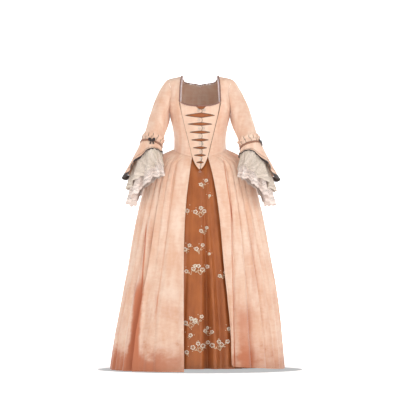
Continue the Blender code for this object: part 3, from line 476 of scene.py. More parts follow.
# %% One finish
class Finish:
    """A Principled material whose fixed numbers are set at once and whose patterns are summed."""

    def __init__(self, name, fixed):
        self.material = bpy.data.materials.new(name)
        self.material.use_nodes = True
        self.tree = self.material.node_tree
        self.shader = self.tree.nodes["Principled BSDF"]
        for socket, number in fixed.items():
            self.shader.inputs[socket].default_value = number

    def node(self, kind, settings=None, sockets=None, output=0):
        """Add a node: its settings first, then the values or links of its sockets."""
        made = self.tree.nodes.new(kind)
        for key, setting in (settings or {}).items():
            setattr(made, key, setting)
        for key, given in (sockets or {}).items():
            self.feed(made.inputs[key], given)
        return Value(self, made.outputs[output])

    def feed(self, socket, given):
        if isinstance(given, Value):
            self.tree.links.new(given.socket, socket)
        else:
            socket.default_value = given

    def colour(self, first, second, share):
        first, second = (c if isinstance(c, Value) else (*c, 1.0) for c in (first, second))
        return self.node("ShaderNodeMix", {"data_type": "RGBA"}, {0: share, 6: first, 7: second}, 2)

    def spot(self):
        """Position on the garment in metres."""
        return self.node("ShaderNodeTexCoord", output="Object")

    def map(self, name):
        return self.node("ShaderNodeUVMap", {"uv_map": name})

    def axis(self, vector, which):
        return self.node("ShaderNodeSeparateXYZ", None, {0: vector}, which)

    def stretched(self, vector, size):
        """A vector measured in bumps of a size in metres each way."""
        scale = tuple(1.0 / length for length in size)
        return self.node("ShaderNodeVectorMath", {"operation": "MULTIPLY"}, {0: vector, 1: scale})

    def mottle(self, vector, size, detail=2.0):
        """Cloudy pattern from 0 to 1, with patches of a size in metres."""
        return self.node("ShaderNodeTexNoise", None, {"Vector": self.stretched(vector, size), "Scale": 1.0,
                                                      "Detail": detail, "Roughness": 0.6})

    def done(self, colour, roughness, height, depth, alpha=None):
        """Feed the shader; height is a pattern from 0 to 1 and depth its relief in metres."""
        self.feed(self.shader.inputs["Base Color"], colour)
        self.feed(self.shader.inputs["Roughness"], roughness)
        bump = self.node("ShaderNodeBump", None, {"Strength": 1.0, "Distance": depth, "Height": height})
        self.feed(self.shader.inputs["Normal"], bump)
        if alpha is not None:
            self.feed(self.shader.inputs["Alpha"], alpha)
        print("finish", self.material.name, "with", len(self.tree.nodes), "nodes")
        return self.material


# %% [markdown]
# ## Silk, satin, lace and trimming
# The robe is a crisp silk with a thicker cross thread, cloudy with age, and water has left pinkish
# marks near the hem, most at the lower left. Its fold valleys and pleat lines are darkened in the
# same pinkish brown: painted shade, and in the deep valley at the lower left also the silk's own
# discolouration. The petticoat is a rust satin whose sheen is painted as streaks down the cloth.
# The lace is a fine net, so it needs real holes: alpha cuts them; the shade of its folds is painted
# in soft streaks. An image could hold all this, but patterns in metres stay sharp at any size.

# %% Silk of the robe and the stomacher
# Marks along the robe's folds in the stain's colour, from (x, z) to (to_x, to_z) with a width and a
# strength: painted shade in the fold valleys and along the pleat lines, and in the deep valley at the lower
# left also the silk's own discolouration.
FoldShadeAndStain = namedtuple("FoldShadeAndStain", "x z to_x to_z width strength")
FOLD_SHADES_AND_STAINS = [
    FoldShadeAndStain(-0.290, -1.000, -0.334, -1.500, 0.032, 1.00),
    FoldShadeAndStain(-0.108, -0.400, -0.206, -1.115, 0.005, 0.40),
    FoldShadeAndStain(-0.258, -0.700, -0.279, -1.020, 0.005, 0.60),
    FoldShadeAndStain(0.112, -0.400, 0.154, -0.690, 0.005, 0.65),
    FoldShadeAndStain(0.150, -0.640, 0.165, -1.400, 0.005, 0.55),
    FoldShadeAndStain(-0.262, -0.720, -0.286, -1.000, 0.013, 0.35),
    FoldShadeAndStain(-0.240, -0.670, -0.246, -0.840, 0.018, 0.28),
    FoldShadeAndStain(-0.206, -1.020, -0.212, -1.180, 0.012, 0.35),
    FoldShadeAndStain(0.205, -1.100, 0.222, -1.400, 0.050, 0.62),
    FoldShadeAndStain(0.244, -0.690, 0.262, -1.060, 0.018, 0.32),
]


def silk(name, light, deep, stain_and_shade, stain_and_shade_share):
    finish = Finish(name, {"Sheen Weight": 0.35, "Sheen Roughness": 0.45, "Specular IOR Level": 0.35})
    spot = finish.spot()
    cloth = finish.map("cloth")
    across, down = finish.axis(cloth, 0), finish.axis(cloth, 1)
    clouds = finish.mottle(spot, (0.09, 0.09, 0.13), 4.0)
    figure = finish.mottle(spot, (0.030, 0.030, 0.012), 3.0)
    slubs = finish.mottle(cloth, (0.09, 0.0022, 1.0), 3.0)
    warps = finish.mottle(cloth, (0.0025, 0.12, 1.0), 2.0)
    bands = finish.mottle(spot, (0.040, 0.040, 0.60), 2.0)
    shade = bands * 1.1 + clouds * 0.8 + figure * 0.6 + slubs * 0.35 + warps * 0.25 - 0.95
    colour = finish.colour(light, deep, shade.within(0.15, 1.0))
    x, y, z = (finish.axis(spot, k) for k in range(3))
    blush = finish.mottle(spot, (0.06, 0.06, 0.11), 5.0).within(0.42, 0.72)
    colour = finish.colour(colour, stain_and_shade, blush * (0.10 + 0.20 * z.within(-0.7, -1.3)) * stain_and_shade_share)
    tide = finish.mottle(spot, (0.075, 0.075, 0.05), 5.0)
    hem = (z * -1.0 + (tide - 0.5) * 0.20).within(1.26, 1.41) * (0.62 + 0.50 * x.within(0.0, -0.3))
    stains_and_painted_shade = hem * 0.82 + tide.within(0.58, 0.72) * z.within(-1.0, -1.35) * 0.25
    # Painted shade along the fold valleys and pleat lines, added to the water marks at the hem.
    for fold_shade_and_stain in FOLD_SHADES_AND_STAINS:
        slope = (fold_shade_and_stain.to_x - fold_shade_and_stain.x) / (fold_shade_and_stain.to_z - fold_shade_and_stain.z)
        off = x - fold_shade_and_stain.x - (z - fold_shade_and_stain.z) * slope + (tide - 0.5) * fold_shade_and_stain.width * 0.7
        fade = z.within(fold_shade_and_stain.z + 0.05, fold_shade_and_stain.z - 0.08) * z.within(fold_shade_and_stain.to_z - 0.10, fold_shade_and_stain.to_z + 0.05)
        line = (off * off).within(fold_shade_and_stain.width ** 2, 0.0)
        stains_and_painted_shade = stains_and_painted_shade + line * fade * y.within(0.0, -0.1) * fold_shade_and_stain.strength
    colour = finish.colour(colour, stain_and_shade, stains_and_painted_shade.within(0.0, 1.0) * stain_and_shade_share)
    thread = across.waves(0.0011) * 0.3 + down.waves(0.0008) * 0.7
    height = thread * 0.25 + slubs * 0.5 + figure * 0.6
    roughness = 0.42 + slubs * 0.14 + figure * 0.10
    return finish.done(colour, roughness, height, 0.0005)


ROBE = silk("robe_silk_finish", (0.87, 0.655, 0.520), (0.76, 0.455, 0.310), (0.55, 0.180, 0.085), 1.0)
STOMACHER = silk("stomacher_silk_finish", (0.86, 0.625, 0.485), (0.76, 0.49, 0.35), (0.70, 0.34, 0.2), 0.3)


# %% Satin of the petticoat
def satin(name, light, deep):
    finish = Finish(name, {"Sheen Weight": 0.05, "Specular IOR Level": 0.4})
    spot = finish.spot()
    cloth = finish.map("cloth")
    # Painted sheen: long streaks down the cloth move the satin's colour between light and deep.
    painted_sheen_streaks = finish.mottle(cloth, (0.030, 0.60, 1.0), 3.0)
    clouds = finish.mottle(spot, (0.09, 0.09, 0.12), 4.0)
    floats = finish.mottle(cloth, (0.0016, 0.020, 1.0), 2.0)
    worn = finish.axis(spot, 2).within(-1.36, HEM_Z) * finish.mottle(spot, (0.03, 0.03, 0.02), 4.0)
    shade = (painted_sheen_streaks * 0.5 + clouds * 0.8 + floats * 0.2 - 0.3).within(0.2, 0.85)
    colour = finish.colour(light, deep, shade)
    colour = finish.colour(colour, (0.16, 0.07, 0.035), worn * 0.7)
    roughness = 0.34 + floats * 0.12 + clouds * 0.08
    return finish.done(colour, roughness, floats * 0.7 + painted_sheen_streaks * 0.2, 0.0003)


SATIN = satin("petticoat_satin_finish", (0.42, 0.122, 0.030), (0.25, 0.060, 0.013))


# %% Thread, braid and ribbon
def thread(name, light, deep, pitch, depth, gloss):
    """Twisted or ribbed stuff: ribs of a pitch along the piece, cloudy between two colours."""
    finish = Finish(name, {"Sheen Weight": 0.3, "Specular IOR Level": gloss})
    cloth = finish.map("cloth")
    across, down = finish.axis(cloth, 0), finish.axis(cloth, 1)
    ribs = (across + down * 0.6).waves(pitch)
    patches = finish.mottle(cloth, (0.006, 0.006, 1.0), 3.0)
    colour = finish.colour(light, deep, (ribs * 0.45 + patches * 0.8 - 0.15).within(0.2, 0.9))
    return finish.done(colour, 0.5 + patches * 0.2, ribs * 0.6 + patches * 0.4, depth)


BRAID = thread("gathered_braid", (0.40, 0.20, 0.15), (0.13, 0.05, 0.04), 0.0030, 0.0008, 0.3)
CUFF_CORD = thread("cuff_cord", (0.42, 0.20, 0.12), (0.20, 0.085, 0.05), 0.0030, 0.0006, 0.3)
RIBBON_STUFF = thread("dark_ribbon_finish", (0.060, 0.034, 0.028), (0.012, 0.007, 0.007),
                      0.0016, 0.0005, 0.4)
OUTLINE = thread("brown_outline", (0.24, 0.13, 0.075), (0.09, 0.045, 0.025), 0.0018, 0.0004, 0.3)
EYELET = thread("eyelet_thread", (0.66, 0.63, 0.59), (0.36, 0.33, 0.30), 0.0015, 0.0004, 0.4)
PENDANT_THREAD = thread("pendant_thread_finish", (0.80, 0.50, 0.42), (0.50, 0.26, 0.20),
                        0.0015, 0.0004, 0.3)
STITCH = thread("embroidery_thread", (0.95, 0.88, 0.76), (0.74, 0.60, 0.43), 0.0014, 0.0003, 0.5)
LEAF_STITCH = thread("leaf_thread", (0.80, 0.60, 0.40), (0.50, 0.31, 0.17), 0.0014, 0.0003, 0.4)


# %% Net lace
def lace(name, light, deep, clear):
    """Fine net with denser sprigs and a close border; clear is how open the net is."""
    finish = Finish(name, {"Sheen Weight": 0.2, "Specular IOR Level": 0.25})
    cloth = finish.map("cloth")
    place = finish.map("place")
    mesh = finish.node("ShaderNodeTexVoronoi", {"feature": "DISTANCE_TO_EDGE"},
                       {"Vector": finish.stretched(cloth, (0.0024, 0.0024, 1.0)), "Scale": 1.0})
    sprig = finish.node("ShaderNodeTexVoronoi", {"feature": "F1"},
                        {"Vector": finish.stretched(cloth, (0.024, 0.024, 1.0)), "Scale": 1.0})
    net = mesh.within(0.20, 0.06)
    rings = (1 - ((sprig - 0.26) * (sprig - 0.26)).within(0.0, 0.012)) * 0.6
    heart = sprig.within(0.16, 0.06) * 0.8
    down = finish.axis(place, 1)
    border = down.within(0.93, 0.97) + 0.8 * (1 - ((down - 0.86) * (down - 0.86)).within(0.0, 0.0006))
    # Painted shade: soft streaks of the deep colour stand for the shadows in the lace's folds.
    folds = finish.mottle(cloth, (0.020, 0.26, 1.0), 3.0)
    dense = (net + rings + heart + border).within(0.0, 1.0)
    colour = finish.colour(light, deep, (folds * 1.5 + (1 - dense) * 0.15 - 0.45).within(0.0, 1.0))
    alpha = (1.0 - clear) + dense * clear
    return finish.done(colour, 0.75 + folds * 0.1, dense * 0.5 + folds * 0.5, 0.0003, alpha)


LACE_STUFF = lace("lace_net", (0.80, 0.69, 0.60), (0.40, 0.31, 0.21), 0.24)
UNDER_LACE_STUFF = lace("under_lace_net", (0.88, 0.76, 0.70), (0.62, 0.49, 0.41), 0.55)
FRILL_STUFF = lace("frill_net", (0.93, 0.84, 0.83), (0.74, 0.55, 0.55), 0.5)

# %% [markdown]
# ## The fitted bodice
# Four fitted pieces close round the ribs and meet at the sides, the shoulders and the centre back.
# They could be one tube, but the real seams show as fine lines, so the pieces stay two millimetres
# apart at the shoulders and less than one elsewhere. A few long soft wrinkles run from the
# armholes and above the waist.

# %% The bodice's cutting lines
FitRow = namedtuple("FitRow", "z_front x_front z_back x_back z_side turn_side lift")

FIT = [
    FitRow(-0.3975, 0.0385, -0.352, 0.000, -0.352, 0.50, 1.00),
    FitRow(-0.3500, 0.0500, -0.310, 0.000, -0.310, 0.50, 1.00),
    FitRow(-0.2900, 0.0645, -0.260, 0.000, -0.262, 0.50, 1.00),
    FitRow(-0.2200, 0.0815, -0.210, 0.000, -0.202, 0.50, 1.00),
    FitRow(-0.1700, 0.0935, -0.160, 0.000, -0.182, 0.445, 1.00),
    FitRow(-0.1300, 0.1020, -0.115, 0.000, -0.140, 0.37, 1.00),
    FitRow(-0.0900, 0.1005, -0.075, 0.000, -0.095, 0.36, 0.90),
    FitRow(-0.0450, 0.0985, -0.046, 0.000, -0.055, 0.36, 0.68),
    FitRow(-0.0120, 0.0940, -0.030, 0.076, -0.030, 0.37, 0.40),
    FitRow(0.0000, 0.0900, 0.000, 0.090, -0.018, 0.40, 0.00),
]
SIDE_SEAM_HALF = 0.0008
SHOULDER_SEAM_HALF = 0.0010


def fit_row(s):
    """The row of the fit table at a fractional place between two rows."""
    return FitRow(*(FIT_CURVES[name](s) for name in FitRow._fields))


FIT_CURVES = {name: Curve(list(range(len(FIT))), [getattr(row, name) for row in FIT])
              for name in FitRow._fields}


def bodice_point(side, back, t, s):
    """Point of a bodice half: t runs from the open or centre edge to the side, s from the waist up."""
    row = fit_row(s)
    if back:
        inner = 1.0 - torso_turn(row.x_back, row.z_back)
        outer = 1.0 - row.turn_side + SIDE_SEAM_HALF
        z = blend(row.z_back, row.z_side, t)
    else:
        inner = torso_turn(row.x_front, row.z_front)
        outer = row.turn_side - SIDE_SEAM_HALF
        z = blend(row.z_front, row.z_side, t)
    point = sided(side, torso_point(blend(inner, outer, t), z, 0.0, row.lift))
    point.y += (SHOULDER_SEAM_HALF if back else -SHOULDER_SEAM_HALF) * max(s - len(FIT) + 2, 0.0)
    if back and t == 0.0 and row.x_back < 0.001:
        point.x += SIDES[side] * SEAM_GAP
    return point


# %% Bodice fronts and backs
FRONT_CREASES = [
    Crease(0.95, 0.42, 0.35, 0.30, 0.05, -0.0012),
    Crease(0.98, 0.50, 0.50, 0.44, 0.04, 0.0010),
    Crease(0.30, 0.02, 0.75, 0.16, 0.05, -0.0010),
    Crease(0.80, 0.05, 0.55, 0.22, 0.04, 0.0009),
    Crease(0.55, 0.62, 0.60, 0.95, 0.10, -0.0010),
    Crease(0.30, 0.72, 0.35, 0.98, 0.08, 0.0008),
]
for side in SIDES:
    for face in ("front", "back"):
        drift = {"left": 0.0, "right": 0.03}[side]

        def relief(t, s, point, drift=drift):
            share = s / (len(FIT) - 1)
            folds = crease_depth(FRONT_CREASES, t + drift, share - drift)
            return (folds + 0.0007 * ripple(point, 0.06)) * ease(t * 8) * ease((1 - t) * 8)

        piece = sew("bodice_%s_%s_silk" % (face, side),
                    partial(bodice_point, side, face == "back"),
                    steps(40), steps(72, 0.0, len(FIT) - 1), CLOTH_WALL, relief)
        dress(piece, ROBE, "robe_silk", "bodice_%s_%s" % (face, side))
        cloth_sheet(piece)

# %% [markdown]
# ## The stomacher
# The stomacher fills the front between the robe's edges. Each half is cut into eight tabs that lap
# at the middle, with lens-shaped slits between them over a rust layer. The slits could be painted
# dark, but real gaps keep their shadow from every side. A brown binding outlines each tab.

# %% The stomacher's cutting lines
StomacherEdge = namedtuple("StomacherEdge", "z half_width")
STOMACHER_EDGE = [
    StomacherEdge(-0.4625, 0.0035),
    StomacherEdge(-0.4560, 0.0075),
    StomacherEdge(-0.4410, 0.0195),
    StomacherEdge(-0.3975, 0.0380),
    StomacherEdge(-0.3500, 0.0495),
    StomacherEdge(-0.2900, 0.0640),
    StomacherEdge(-0.2200, 0.0810),
    StomacherEdge(-0.1700, 0.0930),
    StomacherEdge(-0.1300, 0.1015),
]
TabBound = namedtuple("TabBound", "z tip half_gap")
TAB_BOUNDS = [
    TabBound(-0.1536, 0.080, 0.0),
    TabBound(-0.1968, 0.071, 0.0120),
    TabBound(-0.2391, 0.059, 0.0080),
    TabBound(-0.2785, 0.049, 0.0075),
    TabBound(-0.3159, 0.041, 0.0072),
    TabBound(-0.3543, 0.033, 0.0068),
    TabBound(-0.3908, 0.028, 0.0062),
    TabBound(-0.4253, 0.017, 0.0050),
    TabBound(-0.4600, 0.003, 0.0001),
]
TAB_OVER = 0.0105
TAB_UNDER = 0.0015
TAB_END_ROUND = 0.006
TAB_NARROWEST = 0.4
TAB_END_BLUNTNESS = 0.9
SLIT_ROUNDNESS = 0.8
TAB_LIFT = LINEN + LAYER_GAP
TAB_LIFT_FROM = 0.030
WELD = 0.00001
NECK_BOTTOM_Z = -0.1515
NECK_CORNER_X = 0.102
NECK_CORNER_RISE = 0.0225
NECK_TURN = 0.001
NECK_NOTCH = 0.015
UNDERLAY_TOP_Z = -0.134
UNDERLAY_BOTTOM_Z = -0.440
UNDERLAY_MARGIN = 0.006
UNDERLAY_GAP = 0.0014


def stomacher_seam(z):
    return read(STOMACHER_EDGE, "half_width", z)


def neckline_z(x):
    """Height of the curved neckline bottom at a distance from the middle."""
    return NECK_BOTTOM_Z + NECK_CORNER_RISE * (abs(x) / NECK_CORNER_X) ** 3


def tab_point(side, tab, place, v, proud=0.0):
    """Point of a tab: place runs 0 at the seam, 1 at the slit's tip and 2 at the tab's end."""
    upper, lower = TAB_BOUNDS[tab], TAB_BOUNDS[tab + 1]
    reach = -TAB_OVER if side == "left" else TAB_UNDER
    tip = blend(upper.tip, lower.tip, v)
    round_off = TAB_END_ROUND * (1 - math.sqrt(1 - TAB_END_BLUNTNESS * (2 * v - 1) ** 2))
    end = max(reach, -tip * TAB_NARROWEST) + round_off
    middle_z = blend(upper.z, lower.z, v)
    seam = stomacher_seam(middle_z) - SEAM_GAP
    x = blend(seam, tip, place) if place <= 1 else blend(tip, end, place - 1)
    opened = max(place - 1, 0.0) ** SLIT_ROUNDNESS
    top = upper.z - upper.half_gap * opened
    bottom = lower.z + lower.half_gap * opened
    if upper.half_gap == 0:
        top = neckline_z(x) - NECK_TURN - NECK_NOTCH * ease((place - 1.62) / 0.30)
    z = blend(top, bottom, v)
    raised = TAB_LIFT * ease((TAB_LIFT_FROM - x) / TAB_LIFT_FROM) if side == "left" else 0.0
    point = torso_point(torso_turn(x, z), z, -raised - proud)
    return Vector((x * SIDES[side], point.y, point.z))


# %% Stomacher halves
def stomacher_half(side):
    """Eight tabs as one piece of cloth, welded where no slit parts them."""
    grid = bmesh.new()
    places = steps(8) + steps(14, 1.0, 2.0)[1:]
    shares = steps(10)
    for tab in range(len(TAB_BOUNDS) - 1):
        verts = [[grid.verts.new(tab_point(side, tab, place, v)) for place in places] for v in shares]
        quads(grid, verts, lambda j, i, verts=verts: (verts[j][i].co.x, verts[j][i].co.z),
              lambda j, i: (places[i] / 2, shares[j]))
    area = sum(face.calc_area() for face in grid.faces)
    bmesh.ops.remove_doubles(grid, verts=grid.verts[:], dist=WELD)
    grid.normal_update()
    if sum(face.normal.y for face in grid.faces) > 0:
        bmesh.ops.reverse_faces(grid, faces=grid.faces[:])
    name = "stomacher_%s_silk" % side
    top = stomacher_seam(TAB_BOUNDS[0].z) + TAB_OVER
    CUTS[name] = (top, TAB_BOUNDS[0].z - TAB_BOUNDS[-1].z, area)
    return walled(name, grid, LINEN)


# %% A cord that follows a path
def tube(name, paths, radius, sides=6, looped=False, swell=None):
    """Round cords along paths of points, joined into one mesh, with maps along and round them."""
    grid = bmesh.new()
    for path in paths:
        count = len(path)
        rings = []
        way = [0.0]
        for i, point in enumerate(path):
            before = path[i - 1] if i or looped else point
            after = path[(i + 1) % count] if i < count - 1 or looped else point
            ahead = (after - before).normalized()
            out = Vector((point.x, point.y, 0.0)) if abs(ahead.z) < 0.99 else Vector((1.0, 0.0, 0.0))
            out = (out - ahead * out.dot(ahead)).normalized()
            across = ahead.cross(out)
            size = radius * (swell(i / count) if swell else 1.0)
            rings.append([grid.verts.new(point + (out * math.sin(a) + across * math.cos(a)) * size)
                          for a in turns_of(sides)])
            way.append(way[-1] + (path[(i + 1) % count] - point).length)
        quads(grid, rings, lambda row, turn: (way[row], turn * radius),
              lambda row, turn: (turn / sides, row / count), True, looped)
        if not looped:
            grid.faces.new(rings[0][::-1])
            grid.faces.new(rings[-1])
    bmesh.ops.recalc_face_normals(grid, faces=grid.faces[:])
    piece = placed(name, grid)
    piece.data.shade_smooth()
    return piece


def gathers(waves, seed):
    """How a ruched cord swells along its length: a drawn-in thread at each wave, never even."""
    def swell(place):
        drawn = abs(math.sin(math.pi * waves * place))
        uneven = wander(place * waves * 0.7, seed, 0.0)
        return 0.55 + 0.55 * drawn ** 0.6 + 0.22 * uneven
    return swell


# %% Underlay, tabs, bindings and eyelets
def underlay_point(x_share, t):
    z_side = blend(UNDERLAY_TOP_Z, UNDERLAY_BOTTOM_Z, t)
    reach = stomacher_seam(z_side) - UNDERLAY_MARGIN
    x = reach * x_share
    z = z_side + (1 - t) * (neckline_z(x) - neckline_z(reach))
    return Vector((x, torso_point(torso_turn(x, z), z, LINEN + UNDERLAY_GAP).y, z))


underlay = sew("stomacher_underlay_satin", underlay_point, steps(24, -1.0, 1.0), steps(30), LINEN,
               lambda u, v, point: 0.0005 * ripple(point, 0.02))
dress(underlay, SATIN, "petticoat_satin", "stomacher_underlay")
cloth_sheet(underlay)

SEAM_CORD = {"left": 0.0006, "right": 0.0012}
BINDING_RADIUS = 0.0013
BINDING_PROUD = 0.0003
EYELET_PLACE = {"left": 1.80, "right": 1.72}
EYELET_THREAD_RADIUS = 0.0012
UPPER_EYELET, LOWER_EYELET = 0.0052, 0.0036
UPPER_TABS = 5
for side in SIDES:
    seam = []
    for z in steps(40, -0.136, -0.396):
        x = stomacher_seam(z)
        seam.append(sided(side, torso_point(torso_turn(x, z), z, -SEAM_CORD[side])))
    dress(tube("stomacher_seam_" + side, [seam], SEAM_CORD[side], 6), OUTLINE, "braid")
    outlines = []
    eyelets = []
    for tab in range(len(TAB_BOUNDS) - 1):
        top = [tab_point(side, tab, place, 0.0, BINDING_PROUD) for place in steps(10, 1.0, 2.0)]
        end = [tab_point(side, tab, 2.0, v, BINDING_PROUD) for v in steps(10)[1:]]
        bottom = [tab_point(side, tab, place, 1.0, BINDING_PROUD) for place in steps(10, 2.0, 1.0)[1:]]
        outlines.append(top[(8 if tab == 0 else 0):] + end + bottom)
        centre = tab_point(side, tab, EYELET_PLACE[side], 0.5, EYELET_THREAD_RADIUS)
        radius = UPPER_EYELET if tab < UPPER_TABS else LOWER_EYELET
        if side == "left" or tab % 2 == 0:
            eyelets.append([centre + Vector((math.cos(a), 0.0, math.sin(a))) * radius
                            for a in turns_of(12)])
    binding = tube("tab_binding_" + side, outlines, BINDING_RADIUS, 6)
    dress(binding, OUTLINE, "braid")
    rings = tube("tab_eyelets_" + side, eyelets, EYELET_THREAD_RADIUS, 5, looped=True)
    dress(rings, EYELET, "stomacher_silk")
    half = stomacher_half(side)
    dress(half, STOMACHER, "stomacher_silk", "stomacher_" + side)
    cloth_sheet(half)

# %% [markdown]
# ## The robe's skirt
# Straight widths of silk are pleated into the bodice's waist and fall open in front. Near the
# waist each pleat is a crisp fold; lower down the silk opens into long rounded folds. Cloth
# simulation would soften the crisp part, so the pleats follow a table, a valley to a row, and
# slow drifts of noise make them uneven.

# %% The skirt's cutting lines
EdgeRow = namedtuple("EdgeRow", "z left right")

OPEN_EDGE = [
    EdgeRow(HEM_Z, 0.0755, 0.1530),
    EdgeRow(-1.242, 0.0770, 0.1468),
    EdgeRow(-1.115, 0.0780, 0.1356),
    EdgeRow(-0.906, 0.0780, 0.1130),
    EdgeRow(-0.732, 0.0740, 0.0987),
    EdgeRow(-0.600, 0.0650, 0.0826),
    EdgeRow(-0.484, 0.0510, 0.0610),
    EdgeRow(-0.3975, 0.0385, 0.0385),
]

Pleat = namedtuple("Pleat", "turn_waist turn_hem depth_waist depth_hem")

PLEATS = {
    "left": [
        Pleat(0.158, 0.160, 0.004, 0.010),
        Pleat(0.196, 0.208, 0.005, 0.006),
        Pleat(0.238, 0.272, 0.006, 0.044),
        Pleat(0.284, 0.338, 0.007, 0.010),
        Pleat(0.334, 0.400, 0.007, 0.024),
        Pleat(0.390, 0.455, 0.007, 0.012),
        Pleat(0.450, 0.512, 0.007, 0.026),
        Pleat(0.515, 0.566, 0.007, 0.014),
    ],
    "right": [
        Pleat(0.168, 0.124, 0.008, 0.018),
        Pleat(0.206, 0.212, 0.006, 0.020),
        Pleat(0.246, 0.286, 0.006, 0.014),
        Pleat(0.292, 0.342, 0.007, 0.020),
        Pleat(0.340, 0.400, 0.007, 0.012),
        Pleat(0.394, 0.455, 0.007, 0.024),
        Pleat(0.452, 0.512, 0.007, 0.014),
        Pleat(0.515, 0.566, 0.007, 0.024),
    ],
}
PLEAT_START_DROP = 0.03
FLARE_START = 0.0018
FLARE_DROP = 0.045
TUCK = SILK + 0.0009
SACK_SEAM_GAP = 0.0014
SackRow = namedtuple("SackRow", "z edge_turn back")
SACK = [
    SackRow(-0.048, 0.850, 0.092),
    SackRow(-0.100, 0.805, 0.108),
    SackRow(-0.200, 0.745, 0.124),
    SackRow(-0.300, 0.695, 0.143),
    SackRow(-0.352, 0.668, 0.153),
    SackRow(-0.420, 0.6300, 0.171),
    SackRow(-0.470, 0.6220, 0.184),
    SackRow(HEM_Z, 0.6200, 0.184),
]


def waist_seam_z(turn):
    """Height of the seam between bodice and skirt, which dips towards the front."""
    front_turn = torso_turn(FIT[0].x_front, FIT[0].z_front)
    t = min(max(0.0, (turn - front_turn) / (SIDE_TURN - front_turn)), 1.0)
    return blend(FIT[0].z_front, FIT[0].z_side, t)


def skirt_size(z, inset, drop):
    """Section of the skirt; just under the seam it comes out of the bodice's own section."""
    free = section(SKIRT, z, inset)
    tight = section(TORSO, z, inset + TUCK)
    share = 1 - (1 - min(max(drop - FLARE_START, 0.0) / FLARE_DROP, 1.0)) ** 2
    size = [blend(a, b, share) for a, b in zip(tight, free)]
    return size, blend(TORSO_SQUARENESS, SKIRT_SQUARENESS, share)


def skirt_point(turn, z, inset, drop):
    size, squareness = skirt_size(z, inset, drop)
    x, y = section_point(size, turn, squareness)
    return Vector((x, y, z))


def back_seam_turn(z):
    """Turn at which the robe skirt meets the sack back."""
    half, _, back, _ = section(SKIRT, z)
    return read(SACK, "edge_turn", z) - SACK_SEAM_GAP / (math.pi * (half + back) / 2)


def edge_turn(side, z):
    """Turn at which the robe's open front edge lies."""
    size, squareness = skirt_size(z, 0.0, max(FIT[0].z_front - z, 0.0))
    return turn_at(read(OPEN_EDGE, side, z) - SIDES[side] * size[3], size, squareness)


# %% Skirt fronts of the robe
FIRST_PLEAT = Curve([0.0, 0.3, 0.75, 0.93, 1.0], [0.0, 0.0, -0.2, 0.3, 1.0])
PLEAT_FORM = Curve([0.0, 0.08, 0.26, 0.72, 0.94, 1.0], [1.0, 0.42, 0.04, -0.22, 0.35, 1.0])
LAST_PLEAT = Curve([0.0, 0.08, 0.26, 0.72, 1.0], [1.0, 0.42, 0.04, -0.1, 0.0])
FIRST_SOFT = Curve([0.0, 0.3, 0.7, 0.88, 1.0], [0.0, 0.02, -0.18, 0.3, 1.0])
SOFT_FORM = Curve([0.0, 0.10, 0.36, 0.62, 0.88, 1.0], [1.0, 0.66, 0.02, -0.26, 0.55, 1.0])
LAST_SOFT = Curve([0.0, 0.10, 0.36, 0.72, 1.0], [1.0, 0.66, 0.02, -0.12, 0.0])
SKIRT_DROPS = [0.0, 0.002, 0.006, 0.012, 0.02, 0.03, 0.045, 0.06] + steps(60, 0.08, 1.0)
DRIFT_DEEP = 0.010
CRISP_SHARE = 0.12
HEM_RISE = 0.034
HEM_RISE_FADES = 3.0
SOFTENING = 0.5


def robe_point(side, c, share):
    """Point of a robe skirt: c counts pleats from the front edge, share runs from waist to hem."""
    valleys = PLEATS[side]
    k = min(int(c), len(valleys))
    step = c - k
    hem = HEM_Z + (HEM_RISE * math.exp(-c / HEM_RISE_FADES) if side == "right" else 0.0)
    z_side = blend(FIT[0].z_side, hem, share)
    fall = ease(share)
    turns = [edge_turn(side, blend(FIT[0].z_front, hem, share))]
    turns += [blend(valley.turn_waist, valley.turn_hem, fall) for valley in valleys]
    turns.append(back_seam_turn(z_side))
    turn = blend(turns[k], turns[k + 1], step)
    z = blend(waist_seam_z(turn), hem, share)
    drop = waist_seam_z(turn) - z
    here, after = valleys[max(k - 1, 0)], valleys[min(k, len(valleys) - 1)]
    deep = [blend(pleat.depth_waist, pleat.depth_hem, fall) for pleat in (here, after)]
    form = FIRST_PLEAT if k == 0 else LAST_PLEAT if k == len(valleys) else PLEAT_FORM
    softness = ease((share - CRISP_SHARE) / SOFTENING)
    soft = FIRST_SOFT if k == 0 else LAST_SOFT if k == len(valleys) else SOFT_FORM
    depth = blend(form(step), soft(step), softness) * blend(deep[0], deep[1], ease(step))
    depth *= ease(drop / PLEAT_START_DROP)
    quiet = ease(step * 4) if k == 0 else ease((1 - step) * 4) if k == len(valleys) else 1.0
    drift = wander(c * 1.7, z * 2.2, SIDES[side] * 7) * DRIFT_DEEP
    drift += wander(c * 5.1, z * 1.3, SIDES[side] * 3) * DRIFT_DEEP * 0.5
    point = skirt_point(turn, z, depth + (drift + DRIFT_DEEP * 0.5) * quiet * fall, drop)
    return Vector((point.x * SIDES[side] + read(SKIRT, "shift", z), point.y, z))


def skirt_relief(c, share, point):
    """Small gathers at the waist seam and faint handling creases."""
    gathers = 0.0009 * math.sin(c * 34) * (1 - ease(share * 22)) * ease(share * 160)
    return gathers + 0.0011 * ripple(point, 0.035) * ease(share * 6)


PLEAT_COLUMNS = (0.0, 0.05, 0.1, 0.17, 0.26, 0.36, 0.46, 0.56, 0.66, 0.76, 0.85, 0.92, 0.97)
for side in SIDES:
    across = [k + step for k in range(len(PLEATS[side]) + 1) for step in PLEAT_COLUMNS]
    piece = sew("robe_skirt_%s_silk" % side, partial(robe_point, side),
                across + [float(len(PLEATS[side]) + 1)], SKIRT_DROPS, CLOTH_WALL, skirt_relief)
    dress(piece, ROBE, "robe_silk", "robe_skirt_" + side)
    cloth_sheet(piece)

# %% [markdown]
# ## The petticoat
# Under the open robe hangs a satin petticoat of five widths, gathered at the waist. Its front
# width shows: flat at the left, with deeper soft folds at the right. Each fold is a row of a
# table, so that the photograph's few large folds stand where they should.

